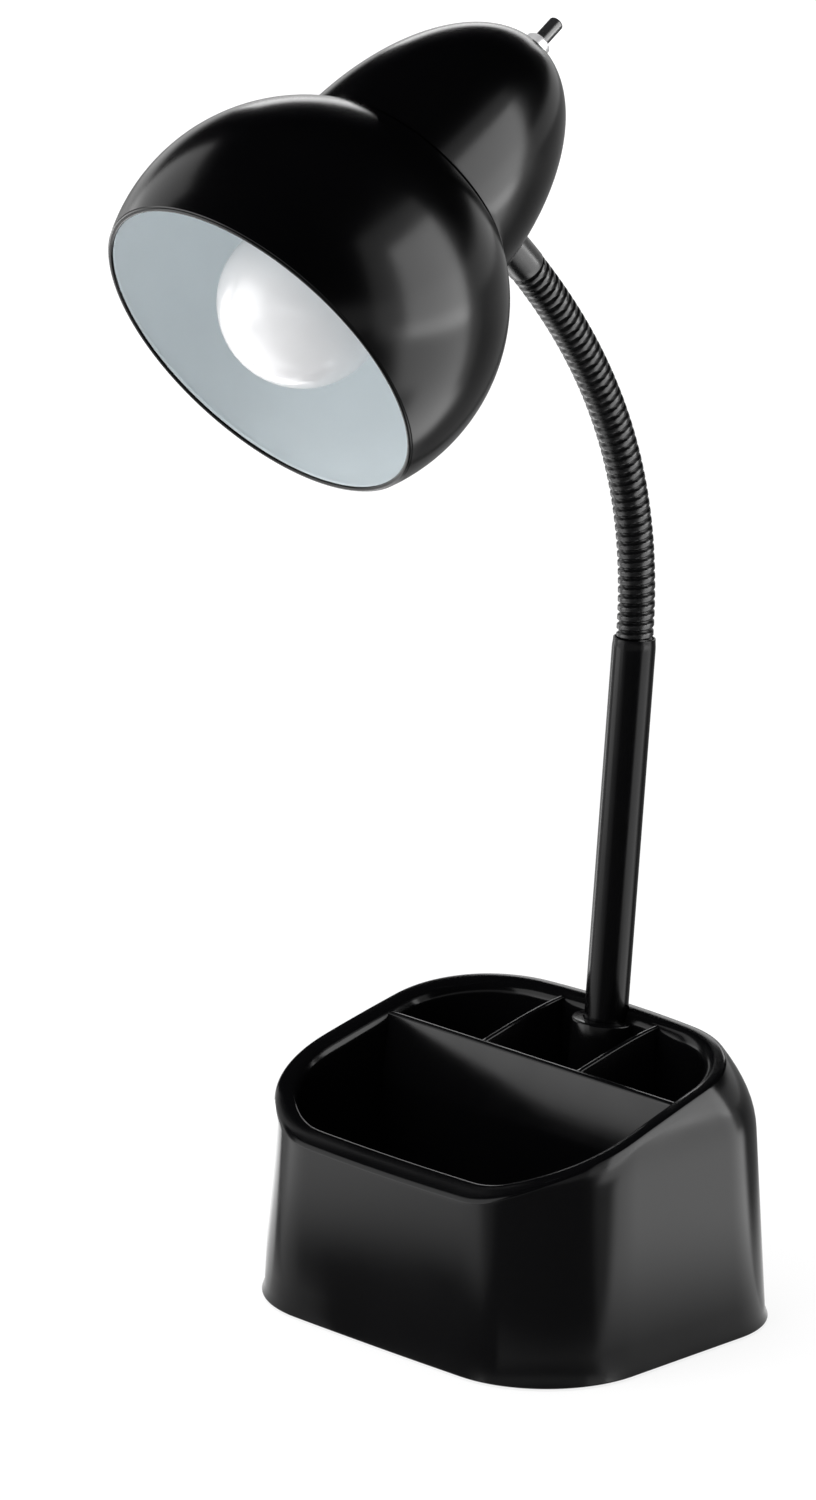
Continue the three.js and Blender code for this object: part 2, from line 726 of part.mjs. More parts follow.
// Pieces that sit on the neck's straight end inside the cup: +Z runs in from the cup's wall
function onNeckEnd(geometry) {
  const inward = new THREE.Quaternion().setFromUnitVectors(new THREE.Vector3(0, 0, 1), neckArrival);
  return geometry.applyQuaternion(inward).translate(neckEnd.x, neckEnd.y, neckEnd.z);
}

// Head pieces, turned round the head's own axis: heights run from the shade's centre to the switch
function arcProfile(radius, centre, from, to, steps) {
  const start = Math.asin((from - centre) / radius);
  const end = Math.asin((to - centre) / radius);
  return Array.from({ length: steps + 1 }, (_, i) => {
    const turn = THREE.MathUtils.lerp(start, end, i / steps);
    return [radius * Math.cos(turn), centre + radius * Math.sin(turn)];
  });
}

const webFront = shadeSeamPlace + spigotLength - shadeThickness;
const webRear = shadeSeamPlace + spigotLength;
const cupInsideAt = (place) => (cupRadius - shadeThickness)
  * Math.sqrt(1 - ((place - cupCentrePlace) / (cupLength - shadeThickness)) ** 2);
const spigotRadius = cupInsideAt(webRear) - fitGap;

function frontShade() {
  const innerRadius = shadeRadius - shadeThickness;
  const hemRadius = shadeRadius - shadeHemThickness;
  const innerStop = circleHeight(innerRadius, spigotRadius - shadeThickness);
  return turned([
    ...arcProfile(shadeRadius, 0, shadeMouthPlace, shadeSeamPlace, shadeOuterSteps),
    [spigotRadius, shadeSeamPlace], [spigotRadius, webRear], [socketRadius + fitGap, webRear],
    [socketRadius + fitGap, webFront], [spigotRadius - shadeThickness, webFront],
    ...arcProfile(innerRadius, 0, shadeMouthPlace + shadeHemDepth, innerStop, shadeInnerSteps).reverse(),
    [circleHeight(hemRadius, shadeMouthPlace + shadeHemDepth), shadeMouthPlace + shadeHemDepth],
    [circleHeight(hemRadius, shadeMouthPlace), shadeMouthPlace],
    [circleHeight(shadeRadius, shadeMouthPlace), shadeMouthPlace],
  ], shadeSides);
}

const cupFront = shadeSeamPlace + fitGap;

function rearCup() {
  const start = Math.asin((cupFront - cupCentrePlace) / cupLength);
  const end = Math.asin((cupTip - cupCentrePlace) / cupLength);
  const wallAt = (thickness) => Array.from({ length: cupSteps + 1 }, (_, i) => {
    const turn = THREE.MathUtils.lerp(start, end, i / cupSteps);
    const along = (cupLength - thickness) * Math.sin(turn);
    return [(cupRadius - thickness) * Math.cos(turn), cupCentrePlace + along];
  });
  const inner = wallAt(shadeThickness);
  inner[0][1] = cupFront;
  const holeRadius = bushingRadius + fitGap;
  const cup = turned([
    ...wallAt(0), [holeRadius, cupTip], [holeRadius, inner.at(-1)[1]], ...inner.reverse(), wallAt(0)[0],
  ], shadeSides);
  const neckHole = disc(nippleRadius + fitGap, -cutOverrun, cutOverrun)
    .rotateX(-rightAngle + entrySlope)
    .translate(0, neckEntryRadius, neckEntryPlace);
  return cut(cup, neckHole);
}

const socketBore = bulbCapRadius + fitGap + shellThickness + fitGap;
const boreFloor = socketRearPlace - socketBackThickness;
const bulbFoot = boreFloor - contactThickness - 2 * fitGap;
const capFront = bulbFoot - bulbCapLength;
const bulbPlace = bulbFoot - bulbLength + bulbRadius;
const shoulderFront = webRear + fitGap;

function socketBody() {
  const taperStart = socketRearPlace - socketTaperLength;
  return turned([
    [0, boreFloor], [socketBore, boreFloor], [socketBore, socketFrontPlace], [socketRadius, socketFrontPlace],
    [socketRadius, shoulderFront], [socketShoulderRadius, shoulderFront],
    [socketShoulderRadius, shoulderFront + socketShoulderThickness],
    [socketRadius, shoulderFront + socketShoulderThickness], [socketRadius, taperStart],
    [socketTailRadius, socketRearPlace], [0, socketRearPlace],
  ], socketSides);
}

function bulbGlass() {
  const globe = (radius) => Array.from({ length: bulbSteps + 1 }, (_, i) => {
    const turn = THREE.MathUtils.lerp(-rightAngle, bulbNeckTurn, i / bulbSteps);
    return [Math.max(radius * Math.cos(turn), 0), bulbPlace + radius * Math.sin(turn)];
  });
  const glassEnd = capFront + bulbNeckInsert;
  const [[endRadius, endPlace]] = globe(bulbRadius).slice(-1);
  const waistRadius = THREE.MathUtils.lerp(endRadius, bulbNeckRadius, bulbWaistShare);
  const waistPlace = THREE.MathUtils.lerp(endPlace, capFront, bulbWaistShare);
  const neckWall = (inset) => [
    [waistRadius - inset, waistPlace],
    [bulbNeckRadius - inset, capFront], [bulbNeckRadius - inset, glassEnd],
  ];
  return turned([
    ...globe(bulbRadius), ...neckWall(0), ...neckWall(bulbGlassThickness).reverse(),
    ...globe(bulbRadius - bulbGlassThickness).reverse(),
  ], socketSides);
}

function bulbCap() {
  const cupDepth = bulbNeckInsert + fitGap;
  const contactSeat = bulbFoot - bulbContactLength - fitGap;
  return turned([
    [0, capFront + cupDepth], [bulbCapRadius - bulbCapWall, capFront + cupDepth],
    [bulbCapRadius - bulbCapWall, capFront], [bulbCapRadius, capFront],
    [bulbCapRadius, THREE.MathUtils.lerp(capFront, contactSeat, capTaperShare)],
    [bulbContactRadius + bulbCapWall, contactSeat], [0, contactSeat],
  ], socketSides);
}

const bushingRear = cupTip + bushingExposure;
const bushingFront = socketRearPlace + 2 * fitGap + switchBodyLength;
const nutFront = cupTip + fitGap;
const knobFront = bushingRear + fitGap;

function switchNut() {
  const top = nutFront + switchNutThickness;
  const hole = bushingRadius + fitGap;
  return turned([
    [hole, nutFront], [switchNutRadius, nutFront], [switchNutRadius, top - switchNutChamfer],
    [switchNutRadius - switchNutChamfer, top], [hole, top], [hole, nutFront],
  ]);
}

function switchKnob() {
  const top = knobFront + knobLength;
  return turned([
    [0, knobFront + fitGap + shaftRadius], [shaftRadius + fitGap, knobFront + fitGap + shaftRadius],
    [shaftRadius + fitGap, knobFront], [knobRadius, knobFront],
    [knobRadius, top - knobEdgeRadius], [knobRadius - knobEdgeRadius, top], [0, top],
  ]);
}

// The head's lead, from the neck's end to the back of the socket, in a curve that clears the cup
function headLead() {
  const inward = (depth) => neckEnd.clone().addScaledVector(neckArrival, depth);
  const terminal = inHead(socketTailRadius + 2 * (leadRadius + fitGap), socketRearPlace - leadRadius);
  const route = new THREE.CatmullRomCurve3([
    inward(fitGap - cupNippleDepth), inward(0), inward(cuffNippleRise),
    inward(cuffNippleRise + 2 * leadRadius), terminal,
  ]);
  const section = new THREE.Shape();
  section.absarc(0, 0, leadRadius, 0, 2 * Math.PI);
  const curveSegments = leadSides / 2;
  const options = { steps: headLeadSteps, bevelEnabled: false, extrudePath: route, curveSegments };
  return new THREE.ExtrudeGeometry(section, options);
}

// The assembly
const group = new THREE.Group();
const head = new THREE.Group();
head.position.copy(headCentre);
head.rotation.x = headTurn;
group.add(head);

function place(parent, name, geometry, material, x = 0, y = 0, z = 0) {
  const mesh = new THREE.Mesh(geometry, material);
  mesh.name = name;
  mesh.position.set(x, y, z);
  parent.add(mesh);
  return mesh;
}

function addBase() {
  const pad = bodyOfRings([
    planRing(padInset, level(0)), planRing(padInset, level(padThickness)),
  ], mirroredEnds);
  place(group, 'base_housing', baseHousing(), finishes.blackPlastic());
  place(group, 'bottom_cover', bottomCover(), finishes.blackPlastic());
  place(group, 'base_pad', pad, finishes.rubber());
  coverScrewPlaces.forEach(([x, y], index) => {
    place(group, `cover_screw_${index + 1}`, coverScrew(), finishes.brightMetal(), x, y, coverBottom);
  });
  const ballastFoot = coverTop + fitGap;
  const ballastFront = ballastFrontRoom - baseDepth / 2;
  const ballastRear = boardPlaceY - boardWidth / 2 - ballastRearRoom;
  const ballastLength = 2 * (coverScrewPlaces[1][0] - screwPostRadius - ballastEndRoom);
  const ballastWidth = ballastRear - ballastFront;
  const ballast = roundedPlate(ballastLength, ballastWidth, ballastCornerRadius, ballastThickness);
  place(group, 'ballast_weight', ballast, finishes.iron(), 0, (ballastFront + ballastRear) / 2, ballastFoot);
}

function addBoard() {
  const deck = boardTop + fitGap;
  const board = block(boardLength, boardWidth, boardThickness, boardBottom);
  const transformer = block(transformerLength, transformerWidth, transformerHeight, deck);
  const capacitor = disc(capacitorRadius, deck, deck + capacitorHeight, innerSides);
  const tongue = block(portTongueWidth, portTongueDepth, portTongueThickness, 0);
  const tonguePlace = portFace - portDepth + 2 * portWall + fitGap + portTongueDepth / 2;
  const tongueFoot = deck + portHeight - portWall - fitGap - portTongueThickness;
  place(group, 'charging_board', board, finishes.boardGreen(), boardPlaceX, boardPlaceY, 0);
  place(group, 'board_transformer', transformer, finishes.paleMoulding(),
    boardPlaceX - boardLength / 4, boardPlaceY - transformerWidth / 4, 0);
  place(group, 'board_capacitor', capacitor, finishes.phenolic(),
    boardPlaceX + boardLength / 4, boardPlaceY - boardWidth / 4, 0);
  place(group, 'port_shell', portShell(), finishes.brightMetal(),
    boardPlaceX, portFace - portDepth / 2, deck);
  place(group, 'port_tongue', tongue, finishes.paleMoulding(), boardPlaceX, tonguePlace, tongueFoot);
}

function addInlet() {
  const face = rearFaceAt(inletPlaceX - inletFlangeRadius);
  const bushPlace = rearWallFace + fitGap;
  place(group, 'mains_inlet_bush', inletBush(), finishes.rubber(), inletPlaceX, bushPlace, inletHeight);
  [0, 1].forEach((index) => {
    place(group, `splice_cap_${index + 1}`, spliceCap(), finishes.paleMoulding(),
      inletPlaceX - spliceLength / 2, face - skinThickness - inletDepth - (index + 0.5) * splicePitch,
      coverTop + fitGap + spliceRadius);
  });
}

function addNeckTube() {
  const nippleTop = bossWebTop + nippleSocketDepth;
  const nutTop = bossWebBottom - 2 * fitGap - washerThickness;
  const nutBottom = nutTop - nutThickness;
  const plugBottom = bossWebTop + 2 * fitGap;
  const washerBottom = nutTop + fitGap;
  const onNipple = nippleRadius + fitGap;
  const plug = ringOf(tubeRadius - tubeWall - fitGap, onNipple, plugBottom, nippleTop, innerSides);
  const nipple = ringOf(nippleRadius, nippleBoreRadius, nutBottom - 2 * fitGap, nippleTop, innerSides);
  const washerRadius = bossRadius - wellThickness - washerRoom;
  const washer = ringOf(washerRadius, onNipple, washerBottom, washerBottom + washerThickness, innerSides);
  place(group, 'neck_tube', onTube(neckTube()), finishes.blackSteel());
  place(group, 'tube_plug', onTube(plug), finishes.iron());
  place(group, 'tube_nipple', onTube(nipple), finishes.iron());
  place(group, 'tube_washer', onTube(washer), finishes.brightMetal());
  const locknut = hexPlate(nutFlats, onNipple, nutBottom, nutTop);
  place(group, 'tube_locknut', onTube(locknut), finishes.brightMetal());
}

function addGooseneck() {
  for (let index = 0; index < segmentCount; index += 1) {
    place(group, `neck_segment_${index + 1}`, neckSegment(index), finishes.blackNeck());
  }
  const leadGap = fitGap / 2;
  const tubeRun = tubeTopRise - bossWebBottom + leadTailLength;
  place(group, 'tube_lead', leadStretch(-tubeRun, segmentStart(1) - leadGap), finishes.phenolic());
  for (let index = 1; index < segmentCount - 1; index += 1) {
    const stretch = leadStretch(segmentStart(index) + leadGap, segmentStart(index + 1) - leadGap);
    place(group, `neck_lead_${index + 1}`, stretch, finishes.phenolic());
  }
  const lastStart = segmentStart(segmentCount - 1) + leadGap;
  const lastLead = leadStretch(lastStart, neckLength - cupNippleDepth - fitGap);
  place(group, 'cuff_lead', lastLead, finishes.phenolic());
  place(group, 'neck_cuff', neckCuff(), finishes.blackNeck());
}

function addNeckFixing() {
  const nutBottom = shadeThickness + cupNutRise;
  const nipple = ringOf(nippleRadius, nippleBoreRadius, -cupNippleDepth, cuffNippleRise, innerSides);
  const locknut = hexPlate(nutFlats, nippleRadius + fitGap, nutBottom, nutBottom + nutThickness);
  place(group, 'cup_nipple', onNeckEnd(nipple), finishes.iron());
  place(group, 'cup_locknut', onNeckEnd(locknut), finishes.brightMetal());
}

function addHead() {
  const capSeat = bulbCapRadius + fitGap;
  const ringRear = webFront - fitGap;
  const ringFront = ringRear - shadeRingThickness;
  const clampRing = ringOf(shadeRingRadius, socketRadius + fitGap, ringFront, ringRear, socketSides);
  const shell = ringOf(capSeat + shellThickness, capSeat, capFront, boreFloor - fitGap, socketSides);
  const contact = disc(contactRadius, bulbFoot + fitGap, boreFloor - fitGap, innerSides);
  const bulbTipContact = disc(bulbContactRadius, bulbFoot - bulbContactLength, bulbFoot, innerSides);
  place(head, 'front_shade', frontShade(), finishes.blackSteel());
  place(head, 'rear_cup', rearCup(), finishes.blackSteel());
  place(head, 'shade_ring', clampRing, finishes.paleMoulding());
  place(head, 'socket_body', socketBody(), finishes.phenolic());
  place(head, 'socket_shell', shell, finishes.brass());
  place(head, 'socket_contact', contact, finishes.brass());
  place(head, 'bulb_glass', bulbGlass(), finishes.opalGlass());
  place(head, 'bulb_cap', bulbCap(), finishes.brightMetal());
  place(head, 'bulb_contact', bulbTipContact, finishes.iron());
  place(group, 'head_lead', headLead(), finishes.phenolic());
}

function addSwitch() {
  const bodyFront = socketRearPlace + fitGap;
  const wallInside = cupCentrePlace + (cupTip - cupCentrePlace) * (1 - shadeThickness / cupLength);
  const innerNutTop = wallInside - 2 * fitGap;
  const innerNutHole = bushingRadius + fitGap;
  const body = disc(switchBodyRadius, bodyFront, bodyFront + switchBodyLength);
  const bushing = ringOf(bushingRadius, bushingBoreRadius, bushingFront, bushingRear);
  const innerNutFoot = innerNutTop - innerNutThickness;
  const innerNut = ringOf(switchNutRadius, innerNutHole, innerNutFoot, innerNutTop, innerSides);
  const shaft = disc(shaftRadius, bushingRear - shaftDepth, knobFront + shaftRadius, innerSides);
  place(head, 'switch_body', body, finishes.phenolic());
  place(head, 'switch_bushing', bushing, finishes.brightMetal());
  place(head, 'switch_inner_nut', innerNut, finishes.brightMetal());
  place(head, 'switch_nut', switchNut(), finishes.brightMetal());
  place(head, 'switch_knob', switchKnob(), finishes.blackPlastic());
  place(head, 'switch_shaft', shaft, finishes.brightMetal());
}

addBase();
addBoard();
addInlet();
addNeckTube();
addGooseneck();
addNeckFixing();
addHead();
addSwitch();

export default group;
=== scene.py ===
# Desk lamp with a pen holder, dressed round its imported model. Metres, +Z up, tray to the front at -Y.
import json
import math
from bisect import bisect_right

import bmesh
import bpy
from mathutils import Matrix, Vector
from mathutils.geometry import interpolate_bezier


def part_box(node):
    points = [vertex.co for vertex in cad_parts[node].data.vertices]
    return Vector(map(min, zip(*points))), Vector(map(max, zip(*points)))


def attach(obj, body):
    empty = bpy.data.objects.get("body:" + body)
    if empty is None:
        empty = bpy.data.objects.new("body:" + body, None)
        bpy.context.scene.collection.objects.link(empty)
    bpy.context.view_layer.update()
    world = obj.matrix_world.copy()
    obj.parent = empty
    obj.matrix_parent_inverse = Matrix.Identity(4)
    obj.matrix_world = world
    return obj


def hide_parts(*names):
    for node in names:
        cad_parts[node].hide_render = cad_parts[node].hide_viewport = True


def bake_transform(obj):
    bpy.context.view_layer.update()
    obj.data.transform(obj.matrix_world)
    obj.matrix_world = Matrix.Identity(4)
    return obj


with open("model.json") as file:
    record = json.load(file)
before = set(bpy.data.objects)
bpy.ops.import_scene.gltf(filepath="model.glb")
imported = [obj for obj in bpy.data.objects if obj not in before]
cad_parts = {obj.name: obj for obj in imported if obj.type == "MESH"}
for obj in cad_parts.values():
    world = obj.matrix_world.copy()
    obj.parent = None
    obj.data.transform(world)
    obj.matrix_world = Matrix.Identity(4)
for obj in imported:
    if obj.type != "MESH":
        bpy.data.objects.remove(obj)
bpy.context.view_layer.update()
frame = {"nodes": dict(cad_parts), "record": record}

origin = Vector((0, 0, 0))
quarterTurn = math.pi / 2
fullTurn = 2 * math.pi
toRear = Matrix.Rotation(-quarterTurn, 4, "X")
sharpAngle = math.radians(32)
weldDistance = 1e-6


# Numbers

def between(low, high, share):
    return low + (high - low) * share


def spread(low, high, steps):
    return [between(low, high, step / steps) for step in range(steps + 1)]


def clamped(value, low=0, high=1):
    return min(max(value, low), high)


def smoothRise(low, high, value):
    share = clamped((value - low) / (high - low))
    return share * share * (3 - 2 * share)


def always(value):
    return lambda place: value


# Points of an arc as [radius, height] pairs
def arc(centre, radius, start, end, steps):
    return [(centre[0] + radius * math.cos(turn), centre[1] + radius * math.sin(turn))
            for turn in spread(math.radians(start), math.radians(end), steps)]


# Steps round a quarter of an edge: the inset falls from 1 to 0 and the rise goes from 0 to 1, or back
def edgeSteps(steps, start=0, end=quarterTurn):
    return [(1 - math.sin(turn), 1 - math.cos(turn)) for turn in spread(start, end, steps)]


# A line of [radius, height] pairs moved sideways, to its right as it runs
def offsetLine(points, distance):
    moved = []
    for index, point in enumerate(points):
        before = Vector(points[max(index - 1, 0)])
        after = Vector(points[min(index + 1, len(points) - 1)])
        run = (after - before).normalized()
        moved.append((point[0] + run.y * distance, point[1] - run.x * distance))
    return moved


# Meshes

def addLoop(bm, points, closed=True):
    corners = [bm.verts.new(point) for point in points]
    edges = [bm.edges.new(pair) for pair in zip(corners, corners[1:])]
    if closed:
        edges.append(bm.edges.new((corners[-1], corners[0])))
    return edges


# Extrudes the first ring through all the others, corner to corner. The ends are filled, or the last is welded
# to the first where the body is a tube. A crest is a share from 0 to 1 for each corner, for the neck's finish
def skinned(rings, tube=False, crests=None):
    bm = bmesh.new()
    crestLayer = bm.verts.layers.float.new("crest") if crests else None
    edges = addLoop(bm, rings[0])
    corners = bm.verts[:]
    firstEdges = edges
    for index, ring in enumerate(rings + rings[:1] if tube else rings):
        if index:
            made = bmesh.ops.extrude_edge_only(bm, edges=edges)["geom"]
            fresh = {item for item in made if isinstance(item, bmesh.types.BMVert)}
            edges = [item for item in made if isinstance(item, bmesh.types.BMEdge) and fresh.issuperset(item.verts)]
            corners = [next(edge.other_vert(corner) for edge in corner.link_edges
                            if edge.other_vert(corner) in fresh) for corner in corners]
        for place, corner in enumerate(corners):
            corner.co = ring[place]
            if crests:
                corner[crestLayer] = crests[index % len(rings)][place]
    if tube:
        bmesh.ops.remove_doubles(bm, verts=bm.verts, dist=weldDistance)
    else:
        for loop in (firstEdges, edges):
            bmesh.ops.edgeloop_fill(bm, edges=loop)
    bmesh.ops.recalc_face_normals(bm, faces=bm.faces)
    return bm


# Turns a profile of [radius, height] pairs round the Z axis
def spun(profile, steps, closed=True):
    bm = bmesh.new()
    addLoop(bm, [(radius, 0, height) for radius, height in profile], closed)
    bmesh.ops.spin(bm, geom=bm.verts[:] + bm.edges[:], cent=origin, axis=(0, 0, 1), dvec=origin,
                   angle=fullTurn, steps=steps, use_merge=True)
    bmesh.ops.remove_doubles(bm, verts=bm.verts, dist=weldDistance)
    bmesh.ops.recalc_face_normals(bm, faces=bm.faces)
    return bm


def block(size, centre, edgeRadius, segments):
    bm = bmesh.new()
    bmesh.ops.create_cube(bm, size=1)
    bmesh.ops.scale(bm, vec=size, verts=bm.verts)
    bmesh.ops.translate(bm, vec=centre, verts=bm.verts)
    bm.normal_update()
    bmesh.ops.bevel(bm, geom=bm.edges[:], offset=edgeRadius, offset_type="OFFSET", segments=segments,
                    profile=0.5, affect="EDGES", clamp_overlap=True, material=-1)
    return bm


def rod(radius, bottom, top, steps):
    return spun([(0, bottom), (radius, bottom), (radius, top), (0, top)], steps, closed=False)


def placed(bm, matrix):
    bmesh.ops.transform(bm, matrix=matrix, verts=bm.verts)
    return bm


def joined(parts):
    bm = parts[0]
    for part in parts[1:]:
        spare = bpy.data.meshes.new("spare")
        part.to_mesh(spare)
        part.free()
        bm.from_mesh(spare)
        bpy.data.meshes.remove(spare)
    return bm


def newObject(name, bm):
    for face in bm.faces:
        face.smooth = True
    mesh = bpy.data.meshes.new(name)
    bm.to_mesh(mesh)
    bm.free()
    piece = bpy.data.objects.new(name, mesh)
    bpy.context.scene.collection.objects.link(piece)
    return piece


def combine(piece, bm, operation):
    tool = newObject("tool", bm)
    modifier = piece.modifiers.new("cut", "BOOLEAN")
    modifier.operation = operation
    modifier.solver = "EXACT"
    modifier.object = tool
    graph = bpy.context.evaluated_depsgraph_get()
    result = bpy.data.meshes.new_from_object(piece.evaluated_get(graph))
    piece.modifiers.clear()
    spare = piece.data
    piece.data = result
    bpy.data.meshes.remove(spare)
    bpy.data.objects.remove(tool)


# Gives a finished mesh its slot's material, its shading and its body, and hides the CAD nodes that it stands for
def finish(piece, slotName, nodes, body=None, angle=sharpAngle):
    piece.data.materials.clear()
    piece.data.materials.append(finishFor(slotName))
    piece.data.set_sharp_from_angle(angle=angle)
    if body:
        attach(piece, body)
    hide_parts(*nodes)
    print("made", piece.name, len(piece.data.polygons), "faces")


def newPiece(name, bm, slotName, nodes, body, angle=sharpAngle):
    finish(newObject(name, bm), slotName, nodes, body, angle)


# Materials

def addNode(tree, kind, inputs=None, **settings):
    node = tree.nodes.new(kind)
    for key, value in settings.items():
        setattr(node, key, value)
    for key, value in (inputs or {}).items():
        socket = node.inputs[key]
        if isinstance(value, bpy.types.NodeSocket):
            tree.links.new(value, socket)
        else:
            socket.default_value = value
    return node


def tint(colour, share=1.0):
    return (colour[0] * share, colour[1] * share, colour[2] * share, 1)


def freshTree(owner):
    owner.use_nodes = True
    owner.node_tree.nodes.clear()
    return owner.node_tree


def newMaterial(name):
    material = bpy.data.materials.new(name)
    tree = freshTree(material)
    return material, tree, addNode(tree, "ShaderNodeTexCoord").outputs["Object"]


def noise(tree, place, scale, detail, stretch=None):
    if stretch:
        place = addNode(tree, "ShaderNodeMapping", {"Vector": place, "Scale": stretch}).outputs["Vector"]
    return addNode(tree, "ShaderNodeTexNoise", {"Vector": place, "Scale": scale, "Detail": detail}).outputs["Fac"]


def ramp(tree, factor, low, high, lowColour, highColour):
    node = addNode(tree, "ShaderNodeValToRGB", {"Fac": factor})
    for element, position, colour in zip(node.color_ramp.elements, (low, high), (lowColour, highColour)):
        element.position = position
        element.color = colour
    return node.outputs["Color"]


def mapped(tree, value, fromLow, fromHigh, toLow, toHigh, kind="LINEAR"):
    return addNode(tree, "ShaderNodeMapRange", {
        "Value": value, "From Min": fromLow, "From Max": fromHigh, "To Min": toLow, "To Max": toHigh,
    }, interpolation_type=kind).outputs["Result"]


def eased(tree, *values):
    return mapped(tree, *values, kind="SMOOTHSTEP")


def worked(tree, operation, first, second, clamp=False):
    return addNode(tree, "ShaderNodeMath", {0: first, 1: second}, operation=operation,
                   use_clamp=clamp).outputs["Value"]


plainLook = {"patchScale": 40, "smearScale": 90, "grainScale": 1500, "grainStrength": 0.4, "grainHeight": 1e-5,
             "stretch": None, "shade": 0.8, "metallic": 0.0, "specular": 0.5, "coat": 0.0,
             "coatRoughness": 0.05, "depth": 0.0}


# Any finish: patchy colour, uneven gloss and a fine grain, each at its own scale per metre. The ribbed hose reads
# its crest attribute instead of the patches: crests rubbed smooth, grooves dull with lacquer and dust
def makeFinish(name, ownLook):
    look = plainLook | ownLook
    material, tree, place = newMaterial(name)
    stretch = look["stretch"]
    if "crest" in look:
        crest = addNode(tree, "ShaderNodeAttribute", attribute_name="crest").outputs["Fac"]
        rubbed = worked(tree, "MULTIPLY", crest, noise(tree, place, look["wearScale"], 4))
        colour = ramp(tree, rubbed, 0.15, 0.6, tint(look["groove"]), tint(look["crest"]))
        roughness = mapped(tree, rubbed, 0, 0.6, *look["roughness"])
    else:
        patches = noise(tree, place, look["patchScale"], 4, stretch)
        smears = noise(tree, place, look["smearScale"], 5, stretch)
        colour = ramp(tree, patches, 0.32, 0.68, tint(look["colour"], look["shade"]), tint(look["colour"]))
        roughness = mapped(tree, smears, 0.3, 0.7, *look["roughness"])
    bump = addNode(tree, "ShaderNodeBump", {
        "Height": noise(tree, place, look["grainScale"], 2, stretch), "Strength": look["grainStrength"],
        "Distance": look["grainHeight"],
    })
    shader = addNode(tree, "ShaderNodeBsdfPrincipled", {
        "Base Color": colour, "Roughness": roughness, "Normal": bump.outputs["Normal"],
        "Metallic": look["metallic"], "IOR": 1.5, "Specular IOR Level": look["specular"],
        "Coat Weight": look["coat"], "Coat Roughness": look["coatRoughness"],
        "Subsurface Weight": look["depth"], "Subsurface Radius": (1, 1, 1), "Subsurface Scale": 0.002,
    })
    addNode(tree, "ShaderNodeOutputMaterial", {"Surface": shader.outputs["BSDF"]})
    return material


